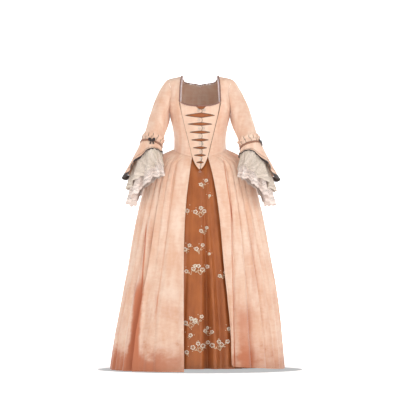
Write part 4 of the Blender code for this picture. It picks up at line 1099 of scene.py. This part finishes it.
# %% The petticoat's cutting lines
PETTICOAT_TOP_Z = -0.345
PETTICOAT_SEATED = 0.0011
PETTICOAT_BEHIND_POINT = 0.0045
PETTICOAT_DRAWN_IN = 0.009
PETTICOAT_DRAW_DROP = 0.014
POINT_Z = -0.458
POINT_TURN = 0.09
PETTICOAT_SETTLE = 0.10
PETTICOAT_NEAR_TURN = 0.11
PETTICOAT_INSET_FRONT = 0.016
PETTICOAT_INSET_SIDE = 0.052
PETTICOAT_SEAM_HALF = 0.0006
PetticoatPanel = namedtuple("PetticoatPanel", "name start stop waves deep")
PETTICOAT = [
    PetticoatPanel("petticoat_front", -0.25, 0.25, 12, 0.012),
    PetticoatPanel("petticoat_side_left", -0.72, -0.25, 5, 0.020),
    PetticoatPanel("petticoat_side_right", 0.25, 0.72, 5, 0.020),
    PetticoatPanel("petticoat_back_left", -1.0, -0.72, 3, 0.020),
    PetticoatPanel("petticoat_back_right", 0.72, 1.0, 3, 0.020),
]

Fold = namedtuple("Fold", "x_waist x_hem width depth")
FRONT_FOLDS = [
    Fold(-0.044, -0.084, 0.014, 0.014),
    Fold(-0.024, -0.052, 0.014, 0.005),
    Fold(0.004, 0.004, 0.018, -0.005),
    Fold(0.020, 0.040, 0.017, 0.050),
    Fold(0.034, 0.068, 0.011, -0.018),
    Fold(0.046, 0.106, 0.016, 0.020),
    Fold(0.058, 0.132, 0.011, -0.006),
    Fold(0.075, 0.162, 0.014, 0.018),
]
FOLD_START_Z = -0.55
PETTICOAT_HEM_RISE = 0.014


def front_fold(x, z):
    """Depth of the front width's listed folds at a distance from the middle."""
    fall = ease((FOLD_START_Z - z) / (FOLD_START_Z - HEM_Z))
    depth = 0.0
    for fold in FRONT_FOLDS:
        off = (x - blend(fold.x_waist, fold.x_hem, fall ** 0.7)) / (fold.width * (0.6 + 0.6 * fall))
        depth += fold.depth * math.exp(-off * off) * (0.15 + 0.85 * fall)
    return depth


def petticoat_point(panel, t, share):
    """Point of a width of the petticoat: t runs across it and share from the waist to the hem."""
    z = blend(PETTICOAT_TOP_Z, HEM_Z + PETTICOAT_HEM_RISE, share)
    turn = blend(panel.start + PETTICOAT_SEAM_HALF, panel.stop - PETTICOAT_SEAM_HALF, t)
    half_turn = abs(turn)
    drop = max(blend(POINT_Z, FIT[0].z_front, ease(half_turn / POINT_TURN)) - z, 0.0)
    cover = ease((half_turn - PETTICOAT_NEAR_TURN) / PETTICOAT_NEAR_TURN)
    seated = blend(PETTICOAT_BEHIND_POINT, PETTICOAT_SEATED, cover)
    seated += PETTICOAT_DRAWN_IN * ease((PETTICOAT_TOP_Z - z) / PETTICOAT_DRAW_DROP)
    under = blend(PETTICOAT_INSET_FRONT, PETTICOAT_INSET_SIDE, cover)
    inset = blend(seated, under, ease(drop / PETTICOAT_SETTLE))
    hidden = 1 - ease(1.6 - half_turn / 0.11) if panel.name == "petticoat_front" else 1.0
    ends = ease(t * panel.waves * 0.7) * ease((1 - t) * panel.waves * 0.7)
    wave = panel.deep * share * (0.5 - 0.5 * math.cos(FULL_TURN * panel.waves * t)) * ends * hidden
    flat = skirt_point(half_turn, z, inset, drop)
    x = math.copysign(flat.x, turn) + read(SKIRT, "shift", z)
    if panel.name == "petticoat_front":
        wave += max(front_fold(x, z), -inset * 0.6) * (1 - hidden) * ease(drop / PETTICOAT_SETTLE)
    point = skirt_point(half_turn, z, inset + wave, drop)
    return Vector((math.copysign(point.x, turn) + read(SKIRT, "shift", z), point.y, z))


def petticoat_relief(t, share, point):
    return (0.0012 * ripple(point, 0.05) + 0.0005 * ripple(point, 0.02, 3.0)) * ease(share * 5)


# %% Five widths of satin
petticoat_front = None
for panel in PETTICOAT:
    fine = 14 if panel.name == "petticoat_front" else 9
    piece = sew(panel.name + "_satin", partial(petticoat_point, panel),
                steps(panel.waves * fine), steps(60), CLOTH_WALL, petticoat_relief)
    dress(piece, SATIN, "petticoat_satin", panel.name)
    if panel.name == "petticoat_front":
        petticoat_front = piece
    else:
        cloth_sheet(piece)

# %% [markdown]
# ## The sack back
# The loose back hangs from the neckline in two wide box pleats and runs out to the hem. Each half
# is one length of silk. Stacked layers of folded silk would be truer at the neck, where the pleats
# are stitched down, yet only their outer faces show, so one shell steps up from fold to fold.

# %% The sack's cutting lines
SACK_STANDS_OFF = 0.0045
SACK_WAIST_Z = -0.352
SACK_FREE_DROP = 0.08
SACK_EDGE_SHARE = 0.35
CENTRE_BACK_TURN = 1.0
BoxPleat = namedtuple("BoxPleat", "t neck hem")
BOX_PLEAT = [
    BoxPleat(0.00, 0.0, 0.0),
    BoxPleat(0.12, 0.0005, 0.002),
    BoxPleat(0.17, 0.0040, 0.014),
    BoxPleat(0.28, 0.0040, 0.018),
    BoxPleat(0.34, 0.0042, 0.014),
    BoxPleat(0.39, 0.0075, 0.034),
    BoxPleat(0.52, 0.0080, 0.042),
    BoxPleat(0.66, 0.0075, 0.034),
    BoxPleat(0.80, 0.0080, 0.044),
    BoxPleat(0.91, 0.0075, 0.036),
    BoxPleat(0.95, 0.0040, 0.012),
    BoxPleat(1.00, 0.0036, 0.004),
]
SACK_SEAM_HALF = 0.00005
HIP_JOIN_SHARE = 0.15
HIP_JOIN_DROP = 0.012


def loose_back(t, z):
    """Distance from the middle and depth of the loose back on the right half."""
    turn = blend(read(SACK, "edge_turn", z), CENTRE_BACK_TURN, t)
    lift = read(FIT, "lift", z, key="z_back")
    above = section(TORSO, z, -SACK_STANDS_OFF)
    fitted_x, fitted_y = section_point(above, turn, TORSO_SQUARENESS, lift)
    loose = (above[0], above[1], read(SACK, "back", z), 0.0)
    loose_y = max(section_point(loose, turn, TORSO_SQUARENESS)[1], fitted_y)
    y_above = blend(fitted_y, loose_y, ease(t / SACK_EDGE_SHARE))
    below_x, below_y = section_point(section(SKIRT, z), turn, SKIRT_SQUARENESS)
    share = ease((SACK_WAIST_Z - z) / SACK_FREE_DROP)
    x = blend(fitted_x, below_x, share)
    y = blend(y_above, below_y, share)
    fall = ease((SACK[0].z - z) / (SACK[0].z - HEM_Z))
    y += blend(read(BOX_PLEAT, "neck", t, key="t"), read(BOX_PLEAT, "hem", t, key="t"), fall)
    return x, y


def sack_point(side, t, z):
    """Point of the loose back: t runs 0 at its side edge, 1 at the centre back seam."""
    x, y = loose_back(t, z)
    drop = FIT[0].z_side - z
    if drop > 0 and t < HIP_JOIN_SHARE:
        edge_x, edge_y = loose_back(0.0, z)
        meet = skirt_point(read(SACK, "edge_turn", z), z, 0.0, drop)
        share = (1 - ease(t / HIP_JOIN_SHARE)) * ease(drop / HIP_JOIN_DROP)
        x += (meet.x - edge_x) * share
        y += (meet.y - edge_y) * share
    if t == 1.0:
        x += SACK_SEAM_HALF
    return Vector((x * SIDES[side] + read(SKIRT, "shift", z), y, z))


def sack_relief(side):
    def relief(t, z, point):
        fall = ease((SACK[0].z - z) / 0.5)
        drift = wander(t * 9, z * 1.5, SIDES[side] * 11) * 0.007 * fall
        stitched = 0.0008 * math.sin(t * 150) * (1 - ease((SACK[0].z - z) / 0.03))
        return (drift + stitched + 0.001 * ripple(point, 0.04)) * ease(t * 12) * ease((1 - t) * 12)
    return relief


# %% Sack backs
SACK_COLUMNS = [blend(a.t, b.t, i / 9) for a, b in zip(BOX_PLEAT, BOX_PLEAT[1:]) for i in range(9)] + [1.0]
SACK_ROWS = steps(30, SACK[0].z, -0.47) + steps(50, -0.47, HEM_Z)[1:]
for side in SIDES:
    piece = sew("sack_back_%s_silk" % side, partial(sack_point, side),
                SACK_COLUMNS, SACK_ROWS, CLOTH_WALL, sack_relief(side))
    dress(piece, ROBE, "robe_silk", "sack_back_" + side)
    cloth_sheet(piece)

# %% [markdown]
# ## The sleeves
# An elbow sleeve is cut as an upper and an under half. It is set into the armhole and bends a
# little forward. One tube stands for both halves, with the seams pressed in as fine grooves, so
# that the wrinkles run on round the arm. Soft wrinkles gather at the elbow and under the arm.

# %% The arm's cutting lines
Arm = namedtuple("Arm", "elbow bow_turn")
ARMS = {
    "left": Arm(Vector((0.236, -0.135, -0.342)), 0.74),
    "right": Arm(Vector((0.246, -0.135, -0.350)), 0.92),
}
ELBOW_AXIS = Vector((0.24, -0.38, -0.89)).normalized()
ARMHOLE_GAP = 0.0008
SLEEVE_END_RADIUS = 0.047
SLEEVE_TOP = Vector((0.52, -0.06, -0.55))
SLEEVE_UNDER = Vector((0.10, -0.30, -0.80))
SLEEVE_SEAMS = (0.292, 0.708)


def armhole():
    """The armhole's edge as an evenly read ring: shoulder, front, underarm, back."""
    front = [torso_point(row.turn_side, row.z_side, 0.0, row.lift) for row in FIT[4:]]
    back = [torso_point(1.0 - row.turn_side, row.z_side, 0.0, row.lift) for row in FIT[4:]]
    ring = front[::-1] + [torso_point(SIDE_TURN, FIT[3].z_side)] + back[:-1]
    return [point + Vector((ARMHOLE_GAP, 0.0, 0.0)) for point in ring]


ARMHOLE = armhole()


def armhole_point(v):
    """Point of the armhole at a share of the way round, eased through its corners."""
    count = len(ARMHOLE)
    k = int(v * count) % count
    t = v * count - int(v * count)
    a, b, c, d = (ARMHOLE[(k + step) % count] for step in (-1, 0, 1, 2))
    return b.lerp(c, t) + (2 * b - a - c).lerp(2 * c - b - d, t) * t * (1 - t) * 0.25


def arm_ring(arm, along, radius, turn):
    """Point round the forearm at the elbow: turn 0 is outward, 0.25 back, 0.5 inward."""
    outward = (Vector((1.0, 0.0, 0.0)) - ELBOW_AXIS * ELBOW_AXIS.x).normalized()
    backward = outward.cross(ELBOW_AXIS)
    angle = FULL_TURN * turn
    spoke = outward * math.cos(angle) + backward * math.sin(angle)
    return arm.elbow + ELBOW_AXIS * along + spoke * radius


def sleeve_point(side, v, s):
    """Point of a sleeve: v runs round from the top of the arm forwards, s from shoulder to elbow."""
    start = armhole_point(v)
    end = arm_ring(ARMS[side], 0.0, SLEEVE_END_RADIUS, -v)
    topness = 0.5 + 0.5 * math.cos(FULL_TURN * v)
    reach = (end - start).length
    leave = SLEEVE_UNDER.lerp(SLEEVE_TOP, topness) * reach
    arrive = ELBOW_AXIS * reach
    a, b = 2 * s ** 3 - 3 * s ** 2 + 1, s ** 3 - 2 * s ** 2 + s
    c, d = -2 * s ** 3 + 3 * s ** 2, s ** 3 - s ** 2
    return sided(side, start * a + leave * b + end * c + arrive * d)


# %% Sleeves with their wrinkles
SLEEVE_CREASES = [
    Crease(0.10, 0.80, 0.42, 0.90, 0.045, -0.0030),
    Crease(0.06, 0.66, 0.40, 0.74, 0.045, 0.0022),
    Crease(0.14, 0.56, 0.46, 0.62, 0.040, -0.0024),
    Crease(0.72, 0.90, 0.96, 0.78, 0.045, -0.0026),
    Crease(0.70, 0.72, 0.98, 0.62, 0.045, 0.0018),
    Crease(0.36, 0.06, 0.24, 0.38, 0.050, -0.0026),
    Crease(0.44, 0.05, 0.34, 0.30, 0.045, 0.0020),
    Crease(0.58, 0.05, 0.70, 0.34, 0.050, -0.0024),
    Crease(0.02, 0.10, 0.10, 0.34, 0.060, -0.0012),
]


def sleeve_relief(side):
    def relief(v, s, point):
        folds = crease_depth(SLEEVE_CREASES, v + 0.02 * SIDES[side], s - 0.015 * SIDES[side])
        seams = sum(0.0011 * math.exp(-((v - seam) / 0.006) ** 2) for seam in SLEEVE_SEAMS)
        loose = 0.0013 * ripple(point, 0.045, SIDES[side]) + 0.0005 * ripple(point, 0.018)
        return (folds + loose) * ease(s * 12) * ease((1 - s) * 14) - seams
    return relief


for side in SIDES:
    axis = [sum((sleeve_point(side, k / 8, s) for k in range(8)), Vector()) / 8 for s in steps(12)]
    piece = sew("sleeve_%s_silk" % side, partial(sleeve_point, side),
                steps(72)[:-1], steps(70), CLOTH_WALL, sleeve_relief(side), closed=True,
                centre_of=lambda point, axis=axis: min(axis, key=lambda place: (place - point).length))
    dress(piece, ROBE, "robe_silk", "sleeve_upper_" + side, "sleeve_under_" + side)
    cloth_sheet(piece)

# %% [markdown]
# ## The cuffs
# Each elbow carries a ruched heading of the robe's silk with a scalloped upper edge, a rust braid, a
# short flounce edged with dark ribbon, and two layers of lace that hang longer behind the arm. A
# ruffle is a strip gathered along one edge. Here each is a wavy ring that opens as it falls.

# %% Ruched headings and braids
HeadingRow = namedtuple("HeadingRow", "along radius wave")
HEADING = [
    HeadingRow(-0.040, 0.0545, 0.0055),
    HeadingRow(-0.027, 0.0518, 0.0010),
    HeadingRow(-0.015, 0.0520, 0.0045),
    HeadingRow(-0.0046, 0.0491, 0.0010),
]
HEADING_WAVES = 13
BRAID_RING = 0.0530
BRAID_RADIUS = 0.0035
STRANDS = 3
STRAND_POINTS = 180
STRAND_TURNS = 26
STRAND_RADIUS = 0.0029
STRAND_ASIDE = 0.0034
STRAND_OUT = 0.0020


def heading_point(side, turn, along):
    """Point of the ruched band; its upper edge rises and dips in small scallops."""
    phase = FULL_TURN * HEADING_WAVES * turn
    phase += 1.1 * wander(turn * 9, along * 40, SIDES[side] * 6)
    puff = (0.5 - 0.5 * math.cos(phase)) ** 0.7
    uneven = 0.9 + 1.5 * wander(turn * 14, along * 90, SIDES[side] * 4)
    base, wave = (read(HEADING, name, along, key="along") for name in ("radius", "wave"))
    radius = base + wave * puff * uneven
    top = ease((-0.030 - along) / 0.010)
    lift = top * (0.0035 * math.cos(phase) - 0.0015) + 0.0012 * math.sin(phase * 2 + along * 200)
    return sided(side, arm_ring(ARMS[side], along + max(lift, -0.003 * top - 0.0004), radius, turn))


for side in SIDES:
    elbow = sided(side, ARMS[side].elbow)
    piece = sew("cuff_heading_%s_silk" % side, partial(heading_point, side),
                steps(HEADING_WAVES * 12)[:-1], steps(24, HEADING[0].along, HEADING[-1].along),
                GATHERED_WALL, closed=True, centre_of=lambda point, elbow=elbow: elbow)
    dress(piece, ROBE, "robe_silk", "cuff_heading_" + side)
    # Painted shadow: short dark brown cords stand for the shadows between the heading's gathers.
    gather_shadow_paths = []
    for k in range(HEADING_WAVES * 2):
        turn = (k + 0.35 * math.sin(k * 2.7)) / HEADING_WAVES / 2
        middle = -0.029 if k % 2 else -0.017
        gather_shadow_paths.append([heading_point(side, turn, middle + along) for along in steps(8, -0.009, 0.009)])
    gather_shadows = tube("cuff_gather_shadows_" + side, gather_shadow_paths, 0.0012, 6, swell=gathers(2, 1))
    dress(gather_shadows, OUTLINE, "braid")
    cloth_sheet(piece)
    strands = []
    for strand in range(STRANDS):
        path = []
        for k in range(STRAND_POINTS):
            twist = FULL_TURN * (k / STRAND_POINTS * STRAND_TURNS + strand / STRANDS)
            radius = BRAID_RING + STRAND_OUT * math.cos(twist)
            point = arm_ring(ARMS[side], STRAND_ASIDE * math.sin(twist), radius, k / STRAND_POINTS)
            path.append(sided(side, point))
        strands.append(path)
    braid = tube("cuff_braid_%s_cord" % side, strands, STRAND_RADIUS, 6, looped=True)
    dress(braid, CUFF_CORD, "braid", "cuff_braid_" + side)

# %% Ruffles that fall from the elbow
Ruffle = namedtuple("Ruffle", "radius shortest longest flare_least flare_most clearance draws_up")
SILK_FLOUNCE = Ruffle(0.0535, 0.030, 0.172, 0.006, 0.076, 0.010, 3.2)
UPPER_LACE = Ruffle(0.0514, 0.092, 0.225, 0.010, 0.062, 0.018, 1.3)
LOWER_LACE = Ruffle(0.0497, 0.142, 0.290, 0.010, 0.050, 0.026, 1.3)
RUFFLE_ALONG = 0.0042
RUFFLE_WAVES = 9
RUFFLE_SWAY = 0.058
RUFFLE_LEAST = 0.0028
LONGEST_TURN = 0.03
FLOUNCE_SHARE = 0.86
RIBBON_SEAM_SHARE = 0.008
SCALLOP_DEEP = 0.008
PIPING_SHARE = 0.74
PIPING_PROUD = 0.0012
PIPING_RADIUS = 0.0007
WAIST_CLEAR_Z = -0.37


def clear_of_skirt(point, clearance):
    """Move a point straight away from the body's axis until it clears the skirt."""
    half, front, back, _ = section(SKIRT, point.z, -clearance)
    depth = front if point.y < 0 else back
    inside = (abs(point.x) / half) ** SKIRT_SQUARENESS + (abs(point.y) / depth) ** SKIRT_SQUARENESS
    if point.z > WAIST_CLEAR_Z or inside >= 1:
        return point
    grow = inside ** (-1 / SKIRT_SQUARENESS)
    return Vector((point.x * grow, point.y * grow, point.z))


def ruffle_point(side, layer, turn, share, edge=0.0, seed=0.0):
    """Point of a hanging ruffle, at a share of its length; edge is the depth of its scallops."""
    arm = ARMS[side]
    longer = (0.5 + 0.5 * math.cos(FULL_TURN * (turn - LONGEST_TURN))) ** layer.draws_up
    drift = wander(math.cos(FULL_TURN * turn) * 1.3, math.sin(FULL_TURN * turn) * 1.3,
                   seed + SIDES[side] * 3)
    length = blend(layer.shortest, layer.longest, longer) * share * (1 + 0.05 * drift * share)
    flare = blend(layer.flare_least, layer.flare_most, longer) * share
    start = arm_ring(arm, RUFFLE_ALONG, layer.radius, turn)
    spoke = level_way(start - arm.elbow)
    phase = FULL_TURN * RUFFLE_WAVES * turn + drift * 2.5 * share
    wave = math.cos(phase) + 0.4 * math.cos(phase * 2 + seed) * share
    pinch = 0.0012 * math.cos(phase * 3) * (1 - share) ** 3
    sway = spoke * (flare + wave * (RUFFLE_SWAY * length + RUFFLE_LEAST * share) + pinch)
    aside = Vector((-spoke.y, spoke.x, 0.0)) * math.sin(phase + seed) * 0.05 * length
    scallop = edge * (abs(math.sin(phase * 1.5)) - 0.6) * ease(share * 5 - 4)
    point = start + sway + aside - Vector((0.0, 0.0, length + scallop))
    return sided(side, clear_of_skirt(point, layer.clearance))


def hang(name, side, layer, finish, slot, shares, wall, node, edge, seed):
    """A ruffle as one gathered ring of cloth, between two shares of its length."""
    elbow = sided(side, ARMS[side].elbow)
    piece = sew(name, lambda u, v: ruffle_point(side, layer, u, v, edge, seed), steps(280)[:-1], shares,
                wall, lambda u, v, point: 0.0010 * ripple(point, 0.025, seed) * ease(v * 4), closed=True,
                centre_of=lambda point: Vector((elbow.x, elbow.y, point.z)))
    dress(piece, finish, slot, node)
    return piece


for side in SIDES:
    flounce = hang("silk_flounce_%s_silk" % side, side, SILK_FLOUNCE, ROBE, "robe_silk",
                   steps(26, 0.0, FLOUNCE_SHARE), GATHERED_WALL, "silk_flounce_" + side, 0.0, 0.0)
    line = [ruffle_point(side, SILK_FLOUNCE, k / 300, PIPING_SHARE) for k in range(300)]
    elbow = sided(side, ARMS[side].elbow)
    line = [point + level_way(point - elbow) * PIPING_PROUD for point in line]
    piping = tube("flounce_line_" + side, [line], PIPING_RADIUS, 5, looped=True)
    dress(piping, OUTLINE, "braid")
    cloth_sheet(flounce)
    ribbon = hang("flounce_ribbon_%s_silk" % side, side, SILK_FLOUNCE, RIBBON_STUFF, "dark_ribbon",
                  steps(6, FLOUNCE_SHARE + RIBBON_SEAM_SHARE, 1.0), GATHERED_WALL,
                  "flounce_ribbon_" + side, SCALLOP_DEEP, 0.0)
    cloth_sheet(ribbon)
    for name, layer, stuff, seed in (("lace_upper", UPPER_LACE, LACE_STUFF, 2.0),
                                     ("lace_lower", LOWER_LACE, UNDER_LACE_STUFF, 5.0)):
        net = hang("%s_%s_net" % (name, side), side, layer, stuff, "lace", steps(30), NET_WALL,
                   "%s_%s" % (name, side), SCALLOP_DEEP, seed)
        cloth_sheet(net)

# %% [markdown]
# ## Neckline, bows and pendant
# A narrow ribbon, drawn up on a thread, runs round the neckline as a ruched braid, and a small lace
# frill stands inside it. A gathered strip would need many more faces than it shows at this size, so
# the braid is a cord that swells and narrows with its gathers. The bows are puffed loops of ribbon.

# %% Paths round the neckline
NECK_CENTRE = Vector((0.0, 0.0, -0.12))
NECK_BRAID_RADIUS = 0.0032
NECK_SEAM_HALF = 0.0035
SHOULDER_S = len(FIT) - 1
NECK_CORNER_S = 5.0
BACK_NECK_S = 7.0


def neck_place(s):
    """Point of the bodice front's neck edge, with the way from there into the cloth."""
    row = fit_row(s)
    turn = torso_turn(row.x_front, row.z_front)
    here = torso_point(turn, row.z_front, 0.0, row.lift)
    z_beside = blend(row.z_front, row.z_side, 0.1)
    beside = torso_point(blend(turn, row.turn_side, 0.1), z_beside, 0.0, row.lift)
    return here, (beside - here).normalized()


def neck_side_path(side, count):
    path = []
    for s in steps(count, NECK_CORNER_S, SHOULDER_S):
        here, inward = neck_place(s)
        path.append(sided(side, here - inward * 0.0036 + (here - NECK_CENTRE).normalized() * 0.0016))
    path[-1].y -= NECK_SEAM_HALF
    return path


def neck_front_path(count):
    path = []
    for x in steps(count, -0.092, 0.092):
        z = neckline_z(x) + 0.0005
        y = torso_point(torso_turn(x, z), z).y - NECK_BRAID_RADIUS - TAB_LIFT
        path.append(Vector((x, y, z)))
    return path


def neck_back_path(count):
    half = [bodice_point("right", True, 0.0, s) for s in steps(count, BACK_NECK_S, SHOULDER_S)]
    half = [point + Vector((0.0, 0.0, 0.0036)) for point in half]
    half[-1].y += NECK_SEAM_HALF
    return [Vector((-point.x, point.y, point.z)) for point in half[:0:-1]] + half


# %% Ruched braid and frill
BRAID_PATHS = {
    "neck_braid_front": (neck_front_path(170), 24),
    "neck_braid_left": (neck_side_path("left", 140), 19),
    "neck_braid_right": (neck_side_path("right", 140), 19),
    "neck_braid_back": (neck_back_path(90), 26),
}
for name, (path, waves) in BRAID_PATHS.items():
    piece = tube(name + "_ruche", [path], NECK_BRAID_RADIUS, 10, swell=gathers(waves, len(path)))
    dress(piece, BRAID, "braid", name)

FRILL_WAVES = 30


def frill_point(side, u, v):
    """Point of the frill: u runs up the neck edge and v from its seam out into the opening."""
    here, inward = neck_place(blend(NECK_CORNER_S, SHOULDER_S, u))
    ahead = neck_place(min(blend(NECK_CORNER_S, SHOULDER_S, u) + 0.05, SHOULDER_S))[0] - here
    if ahead.length < 0.0001:
        ahead = Vector((0.0, 0.3, 1.0))
    out = inward.cross(ahead).normalized()
    out *= math.copysign(1.0, out.dot(here - NECK_CENTRE))
    under = here - out * (SILK + 0.0015)
    phase = FULL_TURN * FRILL_WAVES * u
    sway = (math.sin(phase) + 0.5 * math.sin(phase * 0.37)) * 0.0016 * v
    reach = blend(0.0025, -0.0105 - 0.0018 * math.cos(phase * 1.5), v)
    return sided(side, under + inward * reach + out * sway)


for side in SIDES:
    piece = sew("neck_frill_%s_net" % side, partial(frill_point, side),
                steps(FRILL_WAVES * 12), steps(8), FRILL_WALL, centre_of=lambda point: NECK_CENTRE)
    dress(piece, FRILL_STUFF, "neck_frill", "neck_frill_" + side)
    cloth_sheet(piece)

# %% Pendant loop at the stomacher's point
PENDANT_PLACE = Vector((0.0, -0.1309, -0.4715))
PENDANT_TILT = 0.12
loops = []
for radius, drop in ((0.0060, 0.0), (0.0026, 0.0011)):
    loop = []
    for angle in turns_of(36):
        rise = math.cos(angle) * radius
        loop.append(PENDANT_PLACE + Vector((math.sin(angle) * radius, rise * PENDANT_TILT, rise - drop)))
    loops.append(loop)
pendant = tube("pendant_thread", loops, 0.0011, 8, looped=True, swell=gathers(18, 2))
dress(pendant, PENDANT_THREAD, "braid", "pendant_loop")

# %% Bows of dark ribbon
BOW_SIZE = 0.017


def bow_patch(side, kind, way):
    """Rule for one part of a bow: a loop, a tail or the knot, to one way of its middle."""
    arm = ARMS[side]
    out = sided(side, arm_ring(arm, 0.0, 1.0, arm.bow_turn) - arm.elbow)
    up = (Vector((0.0, 0.0, 1.0)) - out * out.z).normalized()
    aside = out.cross(up)
    seat = sided(side, arm.elbow) + out * (BRAID_RING + BRAID_RADIUS + 0.0007)

    def point_at(u, v):
        across = (v - 0.5) * 2
        if kind == "loop":
            wide = 0.16 + 0.42 * math.sin(math.pi * min(u * 0.92, 1.0)) ** 0.8
            spot = (way * u, 0.30 * u + across * wide, 0.02 + 0.14 * math.sin(math.pi * u))
        elif kind == "tail":
            wide = 0.10 + 0.12 * u
            spot = (way * (0.1 + 0.42 * u), -0.1 - 1.05 * u + across * wide * way * 0.35,
                    0.02 + 0.05 * math.sin(5 * u))
            spot = (spot[0] + across * wide, spot[1], spot[2])
        else:
            spot = ((u - 0.5) * 0.34, across * 0.22, 0.20 - 0.1 * (2 * u - 1) ** 2 - 0.04 * across ** 2)
        return seat + (aside * spot[0] + up * spot[1] + out * spot[2]) * BOW_SIZE
    return point_at


def patchwork(name, rules, wall):
    """Several small sheets as one walled piece."""
    grid = bmesh.new()
    shares = steps(12)
    for rule in rules:
        verts = [[grid.verts.new(rule(u, v)) for u in shares] for v in shares]
        quads(grid, verts, lambda j, i: (shares[i] * BOW_SIZE, shares[j] * BOW_SIZE),
              lambda j, i: (shares[i], shares[j]))
    return walled(name, grid, wall)


for side in SIDES:
    rules = [bow_patch(side, kind, way) for kind in ("loop", "tail") for way in (-1.0, 1.0)]
    piece = patchwork("cuff_bow_%s_ribbon" % side, rules + [bow_patch(side, "knot", 1.0)], BOW_WALL)
    dress(piece, RIBBON_STUFF, "dark_ribbon", "cuff_bow_" + side)

# %% [markdown]
# ## Embroidery
# Cream thread is worked on the petticoat in small flowers with ringed petals, on thin curved stems
# with leaves. They could be a pattern in the satin's colour. Raised thread catches the light
# instead and throws its own small shadow. Each sprig grows from a row of a table: its place, how
# many flowers it bears and which way it leans. Every point is dropped onto the satin from in front.

# %% Sprigs of flowers
Sprig = namedtuple("Sprig", "x z size lean flowers")
SPRIGS = [
    Sprig(0.016, -0.528, 0.85, 0.4, 2),
    Sprig(0.046, -0.585, 0.55, -0.5, 1),
    Sprig(-0.060, -0.652, 0.95, 0.2, 1),
    Sprig(0.000, -0.662, 1.00, 0.3, 3),
    Sprig(0.018, -0.752, 0.85, 0.8, 2),
    Sprig(-0.062, -0.838, 0.95, 0.1, 2),
    Sprig(-0.006, -0.842, 0.95, 0.7, 2),
    Sprig(0.044, -0.862, 0.50, -0.2, 1),
    Sprig(-0.048, -0.942, 0.90, 1.2, 2),
    Sprig(0.002, -0.938, 1.05, 0.2, 4),
    Sprig(0.108, -0.965, 0.80, 0.5, 2),
    Sprig(-0.046, -1.192, 1.05, 0.3, 3),
    Sprig(-0.010, -1.180, 0.95, 0.9, 2),
    Sprig(-0.048, -1.248, 0.90, -0.4, 1),
    Sprig(0.040, -1.236, 0.80, -0.3, 3),
    Sprig(0.138, -1.222, 0.80, 0.3, 1),
    Sprig(0.002, -1.306, 1.10, 0.1, 4),
    Sprig(0.094, -1.298, 1.10, 0.5, 4),
    Sprig(-0.058, -1.330, 0.90, 0.8, 1),
]
PETALS = 5
PETAL_RING = 0.0084
THREAD_PROUD = 0.0008
PETAL_THREAD = 0.0024
STEM_THREAD = 0.0010
LEAF_THREAD = 0.0019
HEART_STITCH = 0.0012


def on_satin(x, z):
    """The satin's point at a place as seen from the front, a thread's thickness proud of it."""
    hit, spot, normal, _ = petticoat_front.ray_cast(Vector((x, -1.0, z)), Vector((0.0, 1.0, 0.0)))
    if not hit:
        return None
    return spot + normal * THREAD_PROUD


def worked(points):
    """A path of flat points laid on the satin, left out where there is no satin."""
    laid = [on_satin(x, z) for x, z in points]
    return laid if all(laid) else None


def flower(x, z, size, seed):
    """A ring of petals round a bare heart, and a few stitches in the heart."""
    ring = []
    for angle in turns_of(40):
        lobe = abs(math.cos(PETALS * angle / 2 + seed))
        radius = PETAL_RING * size * (0.66 + 0.50 * lobe ** 0.8)
        ring.append((x + math.cos(angle) * radius, z + math.sin(angle) * radius * 0.92))
    heart = [(x + HEART_STITCH * math.cos(a), z + HEART_STITCH * math.sin(a)) for a in (0.0, 2.1, 4.2)]
    return ring, heart


def stem(x, z, to_x, to_z, bend):
    points = []
    for t in steps(8):
        curve = bend * math.sin(math.pi * t)
        points.append((blend(x, to_x, t) + curve * (to_z - z), blend(z, to_z, t) - curve * (to_x - x)))
    return points


def leaf(x, z, angle, size):
    return [(x + math.cos(angle) * size * t, z + math.sin(angle) * size * t) for t in steps(5)]


rings, lines, leaves = [], [], []
for number, sprig in enumerate(SPRIGS):
    root = (sprig.x - 0.002 + 0.006 * sprig.lean, sprig.z - 0.030 * sprig.size)
    for k in range(sprig.flowers):
        spread = (k - (sprig.flowers - 1) / 2) * 0.021 * sprig.size
        height = (0.010 if k % 2 else -0.005) + 0.004 * math.sin(number * 2.3 + k)
        head = (sprig.x + spread + height * sprig.lean, sprig.z + height + 0.3 * sprig.lean * spread)
        size = sprig.size * (1.0 if k % 2 == 0 else 0.85)
        ring, heart = flower(*head, size, number + k * 0.7)
        rings.append(ring)
        lines.append(stem(*root, head[0], head[1] - PETAL_RING * size, 0.12 * (-1) ** k))
        leaves.append(heart)
        for way in (-1, 1):
            middle = (blend(root[0], head[0], 0.5), blend(root[1], head[1], 0.45))
            leaves.append(leaf(*middle, math.pi / 2 + way * 0.9 - spread * 20, 0.009 * sprig.size))
    for k in range(4):
        angle = number * 1.3 + k * 1.6
        bud = (sprig.x + math.cos(angle) * 0.023 * sprig.size,
               sprig.z + math.sin(angle) * 0.020 * sprig.size)
        leaves.append(leaf(*bud, angle, 0.005 * sprig.size))

petal_threads = tube("embroidered_petals", [p for p in map(worked, rings) if p], PETAL_THREAD, 6,
                     looped=True, swell=lambda place: 0.8 + 0.3 * math.sin(place * 37))
dress(petal_threads, STITCH, "petticoat_satin")
stem_threads = tube("embroidered_stems", [p for p in map(worked, lines) if p], STEM_THREAD, 4)
dress(stem_threads, LEAF_STITCH, "petticoat_satin")
leaf_threads = tube("embroidered_leaves", [p for p in map(worked, leaves) if p], LEAF_THREAD, 5,
                    swell=lambda place: 0.3 + 1.0 * math.sin(math.pi * min(place * 1.2, 1.0)))
dress(leaf_threads, LEAF_STITCH, "petticoat_satin")
cloth_sheet(petticoat_front)
print("embroidery:", len(rings), "flowers")
